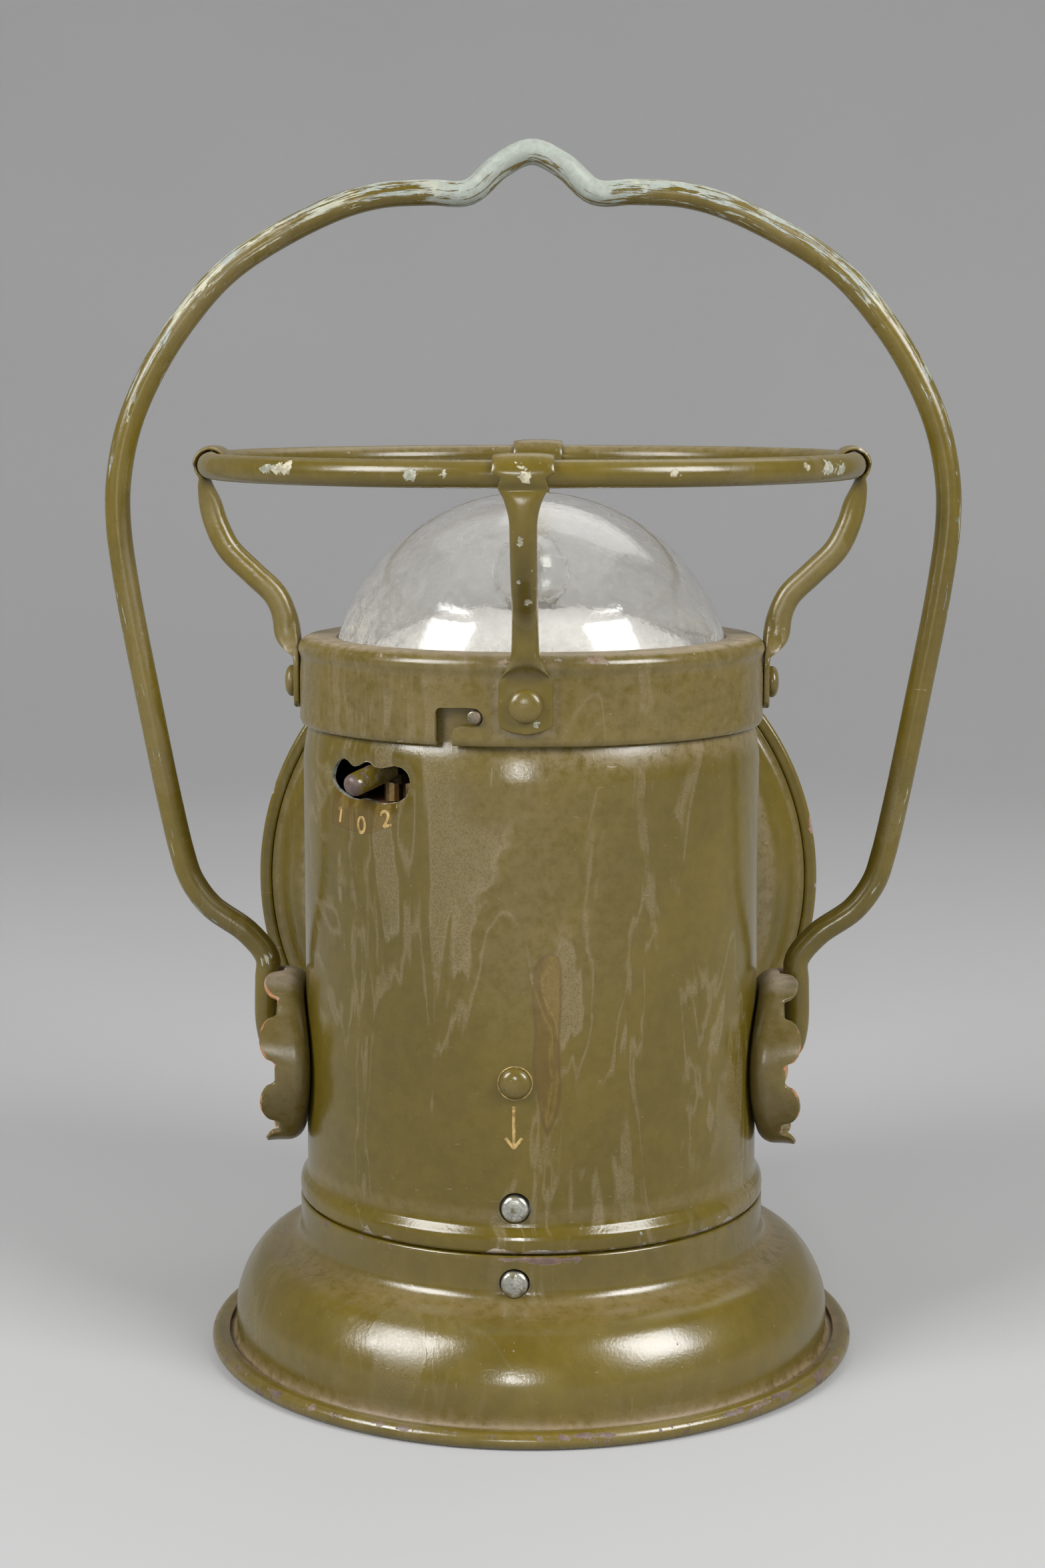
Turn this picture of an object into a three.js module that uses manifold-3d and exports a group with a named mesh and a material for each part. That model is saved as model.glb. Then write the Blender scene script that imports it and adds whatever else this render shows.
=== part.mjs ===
// Two-lamp hand lantern: a round steel case with a clear top dome, a headlight and a wire bail.
// Millimetres, +Z up, origin at the middle of the base's underside; the headlight looks along +Y.
import * as THREE from 'three';
import { mergeVertices } from 'three/addons/utils/BufferGeometryUtils.js';
import Module from 'manifold-3d';

const wasm = await Module();
wasm.setup();

const degree = Math.PI / 180;
const clearance = 0.35;
const overrun = 2;
const sheet = 1.2;

// Facets round each kind of turned piece
const bigSides = 40;
const reflectorSides = 32;
const cupSides = 24;
const lampSides = 16;
const smallSides = 12;
const rodSides = 8;

// The base: a pressed bell whose neck slips over the case, on a plate with a curled edge
const baseSheet = 1;
const coveTop = 30.5;
const neckHeight = 2.9;
const bellReach = 16.4;
const brimWidth = 5.4;
const rimHeight = 3.5;
const rimWidth = 3.4;

// The case: a tube with a rolled shoulder that rests on the neck
const caseRadius = 50;
const caseSeat = 6;
const beadLift = 0.8;
const beadHeight = 5.7;
const beadProud = 1.65;

// The battery, the board above it and the distances up to the switch and the case's top
const batteryGap = 4.8;
const batteryHeight = 97;
const batteryChamfer = 5;
const padThick = 3.3;
const padInset = 8.8;
const terminalHeight = 19.5;
const terminalShare = 0.66;
const terminalFoot = 8;
const terminalTip = 4;
const boardThick = 2.5;
const switchLift = 6.3;
const caseShoulder = 19.1;

// The cap, its bayonet and the dome
const capOverlap = 9.9;
const capRise = 8.6;
const capSheet = 0.9;
const capEdgeRadius = 2.6;
const domeInset = 6;
const domeWall = 2;
const domeRise = 31;
const flangeThick = 2;
const flangeInset = 1;
const gasketThick = 2.2;
const gasketWidth = 4.2;
const pinRadius = 1.45;
const pinDrop = 4.2;
const pinPlay = 0.3;
const bayonetAngle = -11.7;
const bayonetTravel = 7.7;
const bayonetCount = 3;

// The guard: a ring on four straps
const ringReach = 19.2;
const ringRise = 36.9;
const rodRadius = 2.75;
const strapCount = 4;
const strapRadius = 2.7;
const tabLift = 2.7;
const tabWidth = 10.9;
const tabHeight = 11.9;
const tabThick = 1.6;
const clipWidth = 10.6;
const clipThick = 1.25;
const clipStart = -60;
const clipEnd = 200;
const rivetLift = 5.5;
const rivetRadius = 3.3;
const rivetRise = 1.9;

// The bail and its two notched cups
const bailRadius = 2.8;
const bailReach = 21.4;
const bailRise = 66.3;
const bailHead = 4.2;
const footRise = 4.6;
const footInset = 0.3;
const cupLift = 4.7;
const cupRadius = 19.4;
const cupSheet = 1;
const cupDepth = 8.85;
const cupCorner = 2.4;
const notchCount = 8;
const notchWidth = 6.2;
const notchDepth = 4.2;

// The switch
const switchAngle = -42.7;
const switchSwing = 10.3;
const leverRadius = 2.4;
const leverProud = 4.8;
const leverTilt = 8;
const slotHalfWidth = 12.2;
const armInset = 6.8;
const armWidth = 6;
const armThick = 2;
const hubRadius = 7;
const postRadius = 3;
const postRise = 3;
const contactInset = 6;
const contactRadius = 2;

// The latch
const latchAngle = -2.5;
const leafInset = 1.6;
const leafThick = 0.8;
const leafWidth = 11;
const leafReach = 26.4;
const leafPast = 4;
const buttonLift = 3.7;
const catchDrop = 2.4;
const buttonRadius = 2.9;
const buttonProud = 1.6;
const catchProud = 1.55;
const crownRise = 1.2;
const latchRivetRadius = 3.2;
const latchRivetRise = 1.7;

// The top lamp
const reflectorRise = 14.9;
const reflectorSheet = 0.6;
const socketDrop = 1.3;
const socketLift = 2;
const socketCollar = 2;
const bulbBaseRadius = 4.75;
const bulbBaseLength = 15.5;
const bulbSeat = 1.5;
const bulbRadius = 8.5;
const bulbRise = 7;

// The headlight, with lengths along its beam
const headLift = 23;
const headRise = 3;
const headGap = 3.5;
const bowlDepth = 14.5;
const bowlSheet = 0.84;
const bezelDepth = 8;
const bezelSheet = 1.08;
const bezelLap = 3.3;
const lensRise = 3;
const lensSeat = 1.5;
const dishLift = 3.4;
const dishInset = 4;
const dishShare = 0.84;
const saddleRadius = 22;
const headSocketInset = 7;
const headSocketProud = 3;
const headBulbInset = 2;
const headBulbSeat = 1;
const headBulbRadius = 6.2;
const headBulbRise = 6;
const clampSize = 4;
const screwRadius = 1.5;

// Heights up the axis, each from the one below it
const flangeBottom = baseSheet + clearance;
const flangeTop = flangeBottom + baseSheet;
const neckTop = coveTop + neckHeight;
const caseBottom = coveTop - caseSeat;
const beadBottom = neckTop + beadLift;
const beadTop = beadBottom + beadHeight;
const catchHeight = coveTop - catchDrop;
const buttonHeight = beadTop + buttonLift;
const latchPivot = buttonHeight + leafReach;
const pivotHeight = beadTop + cupLift + cupRadius;
const footTop = pivotHeight + cupRadius + footRise;
const batteryBottom = baseSheet + padThick + 2 * clearance;
const batteryTop = batteryBottom + batteryHeight;
const boardBottom = batteryTop + terminalHeight;
const boardTop = boardBottom + boardThick;
const switchHeight = boardTop + switchLift;
const postTop = switchHeight + postRise;
const caseTop = switchHeight + caseShoulder;
const pinHeight = caseTop - pinDrop;
const capBottom = caseTop - capOverlap;
const capTop = caseTop + capRise;
const domeBottom = caseTop + gasketThick + 2 * clearance;
const tabBottom = capBottom + tabLift;
const tabTop = tabBottom + tabHeight;
const rivetHeight = tabBottom + rivetLift;
const ringHeight = capTop + ringRise;
const bailPeak = ringHeight + bailRise;
const reflectorPeak = caseTop + reflectorRise;
const bulbBaseTop = reflectorPeak - socketDrop - bulbSeat;
const headRadius = (capTop + headRise - headLift) / 2;
const beamHeight = headLift + headRadius;

// Distances from the axis
const caseBore = caseRadius - sheet;
const onCase = caseRadius + clearance;
const beadRadius = caseRadius + beadProud;
const bellRadius = caseRadius + bellReach;
const brimRadius = bellRadius + brimWidth;
const capOuter = onCase + capSheet;
const domeRadius = caseRadius - domeInset;
const domeCentre = capTop + domeRise - domeRadius;
const flangeReach = caseRadius - flangeInset;
const ringRadius = caseRadius + ringReach;
const bailHalfWidth = ringRadius + bailReach;
const cupEdge = onCase + cupDepth;
const footReach = cupEdge - footInset;
const leafFace = caseBore - leafInset;
const armReach = caseBore - armInset;
const bowlBack = caseRadius + headGap;
const rimPlane = bowlBack + bowlDepth;
const bowlRim = headRadius - bezelLap;
const bezelBack = rimPlane - sheet;
const bezelFront = bezelBack + bezelDepth;
const bezelLip = bowlRim - 4 * bezelSheet;
const dishEdge = rimPlane + clearance + reflectorSheet;

// Half the battery's side, so that its cut corners keep their gap to the case
const cornerReach = caseBore - batteryGap;
const batteryHalf = (batteryChamfer + Math.sqrt(2 * cornerReach ** 2 - batteryChamfer ** 2)) / 2;

// Holes
const bulbBore = bulbBaseRadius + clearance;
const socketHole = bulbBore + sheet + clearance;
const bailHole = bailRadius + clearance;
const buttonHole = buttonRadius + clearance + leafThick / 4;
const rivetShank = rivetRadius / 2;
const rivetHole = rivetShank + clearance;
const channelHalf = pinRadius + pinPlay;
const pinAngles = Array.from({ length: bayonetCount }, (_, i) => bayonetAngle + (360 / bayonetCount) * i);
const strapAngles = Array.from({ length: strapCount }, (_, i) => (360 / strapCount) * i);

// Closed meshes and booleans

function closedMesh(geometry) {
  const bare = geometry.clone();
  bare.deleteAttribute('normal');
  bare.deleteAttribute('uv');
  const merged = mergeVertices(bare);
  const index = [];
  for (let i = 0; i < merged.index.count; i += 3) {
    const [a, b, c] = [0, 1, 2].map((k) => merged.index.getX(i + k));
    if (a !== b && b !== c && a !== c) index.push(a, b, c);
  }
  return { points: merged.attributes.position.array, index };
}

function signedVolume({ points, index }) {
  const corner = (i) => new THREE.Vector3().fromArray(points, index[i] * 3);
  let sum = 0;
  for (let i = 0; i < index.length; i += 3) sum += corner(i).dot(corner(i + 1).cross(corner(i + 2)));
  return sum;
}

function toSolid(geometry) {
  const mesh = closedMesh(geometry);
  if (signedVolume(mesh) < 0) mesh.index.reverse();
  return new wasm.Manifold(new wasm.Mesh({
    numProp: 3,
    vertProperties: Float32Array.from(mesh.points),
    triVerts: Uint32Array.from(mesh.index),
  }));
}

function toGeometry(solid) {
  const mesh = solid.getMesh();
  const geometry = new THREE.BufferGeometry();
  geometry.setAttribute('position', new THREE.BufferAttribute(mesh.vertProperties, 3));
  geometry.setIndex(new THREE.BufferAttribute(mesh.triVerts, 1));
  geometry.computeVertexNormals();
  return geometry;
}

const closed = (geometry) => toGeometry(toSolid(geometry));

function cut(geometry, ...tools) {
  return toGeometry(tools.reduce((solid, tool) => solid.subtract(toSolid(tool)), toSolid(geometry)));
}

function join(geometry, ...others) {
  return toGeometry(others.reduce((solid, other) => solid.add(toSolid(other)), toSolid(geometry)));
}

// Profiles of [radius, height] points, and their turning about the three axes

const turnedY = (profile, sides = bigSides) =>
  new THREE.LatheGeometry(profile.map(([r, h]) => new THREE.Vector2(r, h)), sides);
const turnedZ = (profile, sides = bigSides) => turnedY(profile, sides).rotateX(Math.PI / 2);
const turnedX = (profile, sides = bigSides) => turnedY(profile, sides).rotateZ(-Math.PI / 2);

const ringProfile = (inner, outer, bottom, top) =>
  [[inner, bottom], [outer, bottom], [outer, top], [inner, top], [inner, bottom]];
const discProfile = (radius, bottom, top) => [[0, bottom], [radius, bottom], [radius, top], [0, top]];

// Points along an arc of steps, about a centre at a radius and a height
function arc(radius, from, to, steps, outAt = 0, upAt = 0) {
  return Array.from({ length: steps + 1 }, (_, i) => {
    const a = (from + ((to - from) * i) / steps) * degree;
    return [outAt + radius * Math.cos(a), upAt + radius * Math.sin(a)];
  });
}

// The crown of a rivet or a stud: a quarter ellipse from its edge to its middle
const crown = (radius, face, end) => arc(1, 0, 60, 2)
  .map(([out, up]) => [radius * out, face + (end - face) * up])
  .concat([[0, end]]);

// A closed-bottomed tube for a bulb's base, with an optional collar round its mouth
function socketProfile(bottom, top, collar = 0) {
  const outer = bulbBore + sheet;
  const floor = bottom + sheet;
  const lip = [[outer, top - sheet], [outer + collar, top - sheet], [outer + collar, top]];
  return [[0, bottom], [outer, bottom], ...(collar ? lip : [[outer, top]]), [bulbBore, top],
    [bulbBore, floor], [0, floor]];
}

// A round bulb on a neck, from its flat foot to its top
function bulbProfile(radius, centre, bottom) {
  const neck = bulbBaseRadius - clearance;
  const start = -Math.acos(neck / radius) / degree;
  return [[0, bottom], [neck, bottom], ...arc(radius, start, 90, 8, 0, centre).slice(0, -1),
    [0, centre + radius]];
}

// Pieces along -Y, the direction that the switch, the latch and the rivets point in

const outward = (geometry, height) => geometry.rotateZ(Math.PI).translate(0, 0, height);
const rodOut = (radius, from, to, height, sides = smallSides) =>
  outward(turnedY(discProfile(radius, from, to), sides), height);
const studOut = (radius, from, face, end, height) =>
  outward(turnedY([[0, from], [radius, from], ...crown(radius, face, end)], smallSides), height);

// A rivet: a thin shank, then a head with a short straight edge and a crown
function rivetOut(radius, from, face, end, height) {
  const edge = face + (end - face) / 4;
  return outward(turnedY([[0, from], [rivetShank, from], [rivetShank, face], [radius, face],
    ...crown(radius, edge, end)], smallSides), height);
}

const roundAbout = (angle, geometry) => geometry.rotateZ(angle * degree);
const holeThrough = (radius, height, angle) =>
  roundAbout(angle, rodOut(radius, caseBore - 2 * overrun, caseRadius + 2 * overrun, height));
const block = (width, depth, height, x, y, z) =>
  new THREE.BoxGeometry(width, depth, height).translate(x, y, z);

// A round wire along a smooth path
function wire(points, radius, steps) {
  const rim = arc(radius, 180 / rodSides, 360 + 180 / rodSides, rodSides).slice(0, -1);
  const section = new THREE.Shape(rim.map(([x, y]) => new THREE.Vector2(x, y)));
  const extrudePath = new THREE.CatmullRomCurve3(points.map((p) => new THREE.Vector3(...p)));
  return new THREE.ExtrudeGeometry(section, { steps, extrudePath });
}

// What a piece that lies on the case is cut by: the case and a clearance round it
const caseCore = () => turnedZ(discProfile(onCase, -caseRadius, caseRadius));

// Case

const beadShares = [[0.25, 0.86], [0.8, 0.7], [1, 0.5], [1, 0.12], [0.8, 0]];

function caseShell() {
  const bead = beadShares.map(([out, up]) => [caseRadius + beadProud * out, beadBottom + beadHeight * up]);
  return turnedZ([
    [caseRadius, caseTop], [caseRadius, beadTop], ...bead, [caseRadius, beadBottom],
    [caseRadius, caseBottom], [caseBore, caseBottom], [caseBore, caseTop], [caseRadius, caseTop],
  ]);
}

// The slot's outline, flattened: three lobes along its top edge and a shallow curve below
function switchSlot() {
  const up = switchHeight + 1.3 * leverRadius;
  const high = up + leverRadius / 2;
  const low = switchHeight - 1.3 * leverRadius;
  const lobe = caseRadius * switchSwing * degree;
  const shape = new THREE.Shape();
  shape.moveTo(-slotHalfWidth, switchHeight);
  shape.quadraticCurveTo(-slotHalfWidth, high, -lobe, high);
  shape.quadraticCurveTo(-lobe * 0.75, up, -lobe / 2, up);
  shape.quadraticCurveTo(-lobe / 4, up, 0, high);
  shape.quadraticCurveTo(lobe / 4, up, lobe / 2, up);
  shape.quadraticCurveTo(lobe * 0.75, up, lobe, high);
  shape.quadraticCurveTo(slotHalfWidth, high, slotHalfWidth, switchHeight);
  shape.quadraticCurveTo(slotHalfWidth, low, lobe * 0.75, low);
  shape.quadraticCurveTo(0, low - leverRadius, -lobe * 0.75, low);
  shape.quadraticCurveTo(-slotHalfWidth, low, -slotHalfWidth, switchHeight);
  return shape;
}

// The slot's cutter is wrapped round the case: x becomes an angle, depth becomes a radius
function switchSlotCutter() {
  const depth = sheet + 4 * overrun;
  const cutter = new THREE.ExtrudeGeometry(switchSlot(), { depth, bevelEnabled: false, curveSegments: 4 });
  const place = cutter.attributes.position;
  for (let i = 0; i < place.count; i += 1) {
    const angle = place.getX(i) / caseRadius;
    const radius = caseBore - 2 * overrun + place.getZ(i);
    place.setXYZ(i, radius * Math.sin(angle), -radius * Math.cos(angle), place.getY(i));
  }
  return roundAbout(switchAngle, cutter);
}

function caseTube() {
  const across = caseRadius + overrun;
  const bailBore = turnedX(discProfile(bailHole, -across, across), smallSides).translate(0, 0, pivotHeight);
  const headBore = turnedY(discProfile(socketHole, 0, across), smallSides).translate(0, 0, beamHeight);
  const pinBores = pinAngles.map((a) => holeThrough(pinRadius + clearance, pinHeight, a));
  return cut(caseShell(), switchSlotCutter(), bailBore, headBore, ...pinBores,
    holeThrough(rivetHole, latchPivot, latchAngle),
    holeThrough(buttonHole, buttonHeight, latchAngle),
    holeThrough(buttonHole, catchHeight, latchAngle));
}

// Bail cups: round drums with a scalloped rim, their backs bent to lie on the case

function cupDrum() {
  const inner = cupRadius - cupSheet;
  const drum = turnedX([
    [bailHole + clearance, 0], [cupRadius - cupCorner, 0], [cupRadius - cupCorner / 4, cupCorner / 4],
    [cupRadius, cupCorner], [cupRadius, cupDepth], [inner, cupDepth], [inner, cupCorner],
    [inner - cupCorner / 4, cupSheet + cupCorner / 8], [inner - cupCorner, cupSheet],
    [bailHole + clearance, cupSheet], [bailHole + clearance, 0],
  ], cupSides).translate(onCase, 0, 0);
  // Points at the drum's floor sink by the case's sagitta, those at its rim stay
  const place = drum.attributes.position;
  for (let i = 0; i < place.count; i += 1) {
    const depthShare = 1 - (place.getX(i) - onCase) / cupDepth;
    const sagitta = onCase - Math.sqrt(onCase ** 2 - place.getY(i) ** 2);
    place.setX(i, place.getX(i) - sagitta * depthShare);
  }
  const notches = Array.from({ length: notchCount }, (_, i) => notchCutter((360 / notchCount) * i));
  return cut(drum, caseCore(), ...notches).translate(0, 0, pivotHeight);
}

// One notch: a round-bottomed slot across the rim, flared towards the open edge
function notchCutter(angle) {
  const half = notchWidth / 2;
  const bottom = cupEdge - notchDepth;
  const wide = half * 2.2;
  const shape = new THREE.Shape();
  shape.moveTo(bottom + half * 0.8, -half);
  shape.quadraticCurveTo(cupEdge - half / 2, -half, cupEdge + overrun, -wide);
  shape.lineTo(cupEdge + overrun, wide);
  shape.quadraticCurveTo(cupEdge - half / 2, half, bottom + half * 0.8, half);
  shape.quadraticCurveTo(bottom, half, bottom, 0);
  shape.quadraticCurveTo(bottom, -half, bottom + half * 0.8, -half);
  const depth = cupSheet + 2 * overrun;
  const cutter = new THREE.ExtrudeGeometry(shape, { depth, bevelEnabled: false, curveSegments: 2 });
  return cutter.translate(0, 0, cupRadius - cupSheet - overrun).rotateX(angle * degree);
}

// Bail: one bent wire in three lengths, the two feet being the lengths that spring over the cup rims

const legShares = [[0.003, 0.085], [0, 0.11], [0.14, 0.139], [0.397, 0.169], [0.534, 0.2],
  [0.594, 0.23], [0.677, 0.291], [0.817, 0.411], [0.946, 0.529], [0.997, 0.6]];
const archShares = [[0.996, 0.647], [0.969, 0.705], [0.913, 0.763], [0.832, 0.82], [0.716, 0.877],
  [0.5, 0.934], [0.371, 0.953], [0.24, 0.957], [0.15, 0.957], [0.075, 0.985]];
const bailUp = (up) => pivotHeight + (bailPeak - pivotHeight) * up;
const legPoints = legShares.map(([out, up]) =>
  [footReach + (bailHalfWidth - footReach) * out, 0, bailUp(up)]);
const archPoints = archShares.map(([out, up]) => [bailHalfWidth * out, 0, bailUp(up)]);
const bailBlock = (bottom, top) => block(4 * caseRadius, caseRadius, top - bottom, 0, 0, (top + bottom) / 2);

function bailArch() {
  const right = [...legPoints, ...archPoints];
  const left = right.map(([x, y, z]) => [-x, y, z]);
  const arch = wire([...left, [0, 0, bailPeak], ...right.reverse()], bailRadius, 84);
  return cut(arch, bailBlock(caseBottom, footTop + clearance));
}

function bailFoot() {
  const pinEnd = caseBore - 2 * overrun;
  const bend = 2.2 * bailRadius;
  const foot = wire([
    [pinEnd, 0, pivotHeight], [footReach - bend, 0, pivotHeight],
    [footReach - bend / 4, 0, pivotHeight + bend / 4], [footReach, 0, pivotHeight + bend],
    ...legPoints.slice(0, 4),
  ], bailRadius, 22);
  const head = turnedX(discProfile(bailHead, pinEnd - sheet, pinEnd), smallSides);
  return cut(join(foot, head.translate(0, 0, pivotHeight)), bailBlock(footTop, footTop + caseRadius));
}

// Cap: a ring with a rolled top edge, bayonet channels and the strap rivets' holes

function bayonetChannel(angle) {
  const reach = capOuter + overrun;
  const start = caseRadius - overrun;
  const steps = 6;
  const across = Array.from({ length: steps + 1 }, (_, i) =>
    roundAbout(angle - (bayonetTravel * i) / steps, rodOut(channelHalf, start, reach, pinHeight, rodSides)));
  const entry = block(2 * channelHalf, reach - start, pinHeight - capBottom + overrun,
    0, -(reach + start) / 2, (pinHeight + capBottom - overrun) / 2);
  return [...across, roundAbout(angle - bayonetTravel, entry)];
}

function capRing() {
  const shoulder = capOuter - capEdgeRadius;
  const under = capTop - capSheet;
  const mouth = Math.sqrt(domeRadius ** 2 - (under - domeCentre) ** 2) + clearance;
  const ring = turnedZ([
    [onCase, capBottom], [capOuter, capBottom],
    ...arc(capEdgeRadius, 0, 90, 3, shoulder, capTop - capEdgeRadius),
    [mouth, capTop], [mouth, under], [shoulder, under], [onCase, capTop - capEdgeRadius],
    [onCase, capBottom],
  ]);
  const rivetBores = strapAngles.map((a) =>
    roundAbout(a, rodOut(rivetHole, caseRadius - overrun, capOuter + overrun, rivetHeight)));
  return cut(ring, ...pinAngles.flatMap(bayonetChannel), ...rivetBores);
}

function dome() {
  const top = domeBottom + flangeThick;
  const angleAt = (height) => Math.asin((height - domeCentre) / domeRadius) / degree;
  const outside = arc(domeRadius, angleAt(top), 90, 7, 0, domeCentre).slice(0, -1);
  const inside = arc(domeRadius - domeWall, angleAt(domeBottom), 90, 5, 0, domeCentre).slice(0, -1);
  return turnedZ([
    [flangeReach, domeBottom], [flangeReach, top], ...outside, [0, domeCentre + domeRadius],
    [0, domeCentre + domeRadius - domeWall], ...inside.reverse(), [flangeReach, domeBottom],
  ]);
}

// Guard: the ring, and four straps flattened to a tab at the foot and clipped over the ring

const guardRing = () => turnedZ(
  arc(rodRadius, 180 / rodSides, 360 + 180 / rodSides, rodSides, ringRadius, ringHeight));
const ringCutter = () => turnedZ(arc(rodRadius + clearance, 0, 360, smallSides, ringRadius, ringHeight));

const strapShares = [[0, 0], [0.03, 0.12], [0.09, 0.24], [0.2, 0.36], [0.45, 0.48], [0.72, 0.61],
  [0.86, 0.74], [0.93, 0.86], [1, 1]];
const tabFace = capOuter + clearance;

// The tab's outline: a shield with a blunt point below and shoulders that narrow to the rod
function tabShape() {
  const half = tabWidth / 2;
  const slope = half / 3;
  const shape = new THREE.Shape();
  shape.moveTo(-half, tabBottom + slope);
  shape.quadraticCurveTo(0, tabBottom - slope, half, tabBottom + slope);
  shape.lineTo(half, tabTop - slope);
  shape.lineTo(strapRadius, tabTop + slope);
  shape.lineTo(-strapRadius, tabTop + slope);
  shape.lineTo(-half, tabTop - slope);
  shape.closePath();
  return shape;
}

function strap() {
  const foot = tabFace + tabThick / 2;
  const head = ringRadius + rodRadius * 0.8;
  const low = tabTop - overrun;
  const high = ringHeight - rodRadius;
  const path = strapShares.map(([out, up]) => [0, -(foot + (head - foot) * out), low + (high - low) * up]);
  const tab = new THREE.ExtrudeGeometry(tabShape(),
    { depth: tabThick, bevelEnabled: false, curveSegments: 4 });
  tab.rotateX(Math.PI / 2).translate(0, -tabFace, 0);
  const capBlock = block(4 * tabWidth, 2 * caseRadius, capTop - capBottom + 2 * overrun,
    0, caseRadius - tabFace, (capTop + capBottom) / 2);
  return cut(join(tab, wire(path, strapRadius, 14), strapClip()), ringCutter(), capBlock,
    rodOut(rivetHole, caseRadius, tabFace + 2 * overrun, rivetHeight));
}

// The clip: a band bent over the ring, wide where it grips
function strapClip() {
  const inner = rodRadius + clearance;
  const [from, to] = [clipStart * degree, clipEnd * degree];
  const shape = new THREE.Shape();
  shape.absarc(0, 0, inner + clipThick, from, to, false);
  shape.absarc(0, 0, inner, to, from, true);
  const band = new THREE.ExtrudeGeometry(shape, { depth: clipWidth, bevelEnabled: false, curveSegments: 7 });
  return band.rotateX(Math.PI / 2).rotateZ(-Math.PI / 2).translate(clipWidth / 2, -ringRadius, ringHeight);
}

// Base: the bell, and the plate whose edge is curled over the bell's brim

const bellShares = [[0.081, 0.911], [0.173, 0.84], [0.302, 0.769], [0.464, 0.698], [0.654, 0.627],
  [0.817, 0.52], [0.912, 0.414], [0.973, 0.307], [1, 0.16]];

function baseBell() {
  const thin = baseSheet * 0.75;
  const outside = bellShares.map(([out, up]) =>
    [beadRadius + (bellRadius - beadRadius) * out, flangeTop + (coveTop - flangeTop) * up]);
  const inside = outside.filter((_, i) => i % 2 === 0).map(([r, z]) => [r - thin, z - thin]).reverse();
  const brim = brimRadius - 2 * clearance - baseSheet;
  const bell = turnedZ([
    [beadRadius, neckTop], [beadRadius, coveTop], ...outside, [bellRadius, flangeTop], [brim, flangeTop],
    [brim, flangeBottom], [bellRadius - baseSheet, flangeBottom], ...inside,
    [onCase, coveTop - baseSheet], [onCase, neckTop], [beadRadius, neckTop],
  ]);
  return cut(bell, holeThrough(buttonHole, catchHeight, latchAngle));
}

function basePlate() {
  const half = baseSheet / 2;
  const curlInner = brimRadius - rimWidth;
  const curlBottom = flangeTop + clearance;
  const inside = brimRadius - baseSheet;
  return turnedZ([
    [0, 0], [brimRadius - half, 0], [brimRadius, half], [brimRadius, rimHeight - half],
    [brimRadius - half, rimHeight], [curlInner, rimHeight], [curlInner, curlBottom],
    [inside, curlBottom], [inside, baseSheet], [0, baseSheet],
  ]);
}

// Battery: a square block with cut corners

function batteryBlock() {
  const half = batteryHalf;
  const short = half - batteryChamfer;
  const corners = [[-half, -short], [-short, -half], [short, -half], [half, -short],
    [half, short], [short, half], [-short, half], [-half, short]];
  const shape = new THREE.Shape(corners.map(([x, y]) => new THREE.Vector2(x, y)));
  const solid = new THREE.ExtrudeGeometry(shape, { depth: batteryHeight, bevelEnabled: false });
  return solid.translate(0, 0, batteryBottom);
}

// Reflectors: the top one a shallow cone, the headlight's a dish with a flat edge

const coneShares = [[0.4, 0.876], [0.8, 0.503]];

function topReflector() {
  const seat = caseTop - sheet;
  const edge = domeRadius - domeWall - overrun;
  const reach = caseBore - clearance;
  const outside = coneShares.map(([out, up]) =>
    [socketHole + (edge - socketHole) * out, seat + (reflectorPeak - seat) * up]);
  const inside = outside.map(([r, z]) => [r, z - reflectorSheet]).reverse();
  return turnedZ([
    [socketHole, reflectorPeak - reflectorSheet], [socketHole, reflectorPeak], ...outside,
    [edge, seat + 2 * reflectorSheet], [reach, seat + reflectorSheet], [reach, seat],
    [edge, seat + reflectorSheet], ...inside, [socketHole, reflectorPeak - reflectorSheet],
  ], reflectorSides);
}

const dishShares = [0.2, 0.45, 0.7, 0.88, 1];

function headReflector() {
  const mouth = bowlRim * dishShare;
  const low = bowlBack + dishLift;
  const deep = bowlDepth - dishInset;
  const first = dishShares[0] ** 2;
  const dish = dishShares.map((out) => [mouth * out, low + (deep * (out ** 2 - first)) / (1 - first)]);
  const back = dish.slice(0, -1).map(([r, y]) => [r, y - reflectorSheet]).reverse();
  const flat = dishEdge - reflectorSheet;
  const edge = bowlRim - sheet;
  return turnedY([
    [socketHole, low], ...dish, [mouth, dishEdge], [edge, dishEdge], [edge, flat],
    [mouth + reflectorSheet, flat], [mouth + reflectorSheet, low + deep - reflectorSheet],
    ...back, [socketHole, low - reflectorSheet], [socketHole, low],
  ], reflectorSides);
}

// Headlight: bowl and bezel, as distances from the beam's axis and along it

const bowlShares = [[0.36, 0], [0.62, 0.16], [0.8, 0.38], [0.9, 0.6], [0.91, 0.9]];

function headBowl() {
  const outside = bowlShares.map(([out, along]) => [bowlRim * out, bowlBack + bowlDepth * along]);
  const inside = outside.map(([r, y]) => [r - bowlSheet, y + bowlSheet]).reverse();
  return turnedY([
    [socketHole, bowlBack], ...outside, [bowlRim, rimPlane - bowlSheet], [bowlRim, rimPlane],
    [inside[0][0], rimPlane], ...inside, [socketHole, bowlBack + bowlSheet], [socketHole, bowlBack],
  ]);
}

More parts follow.
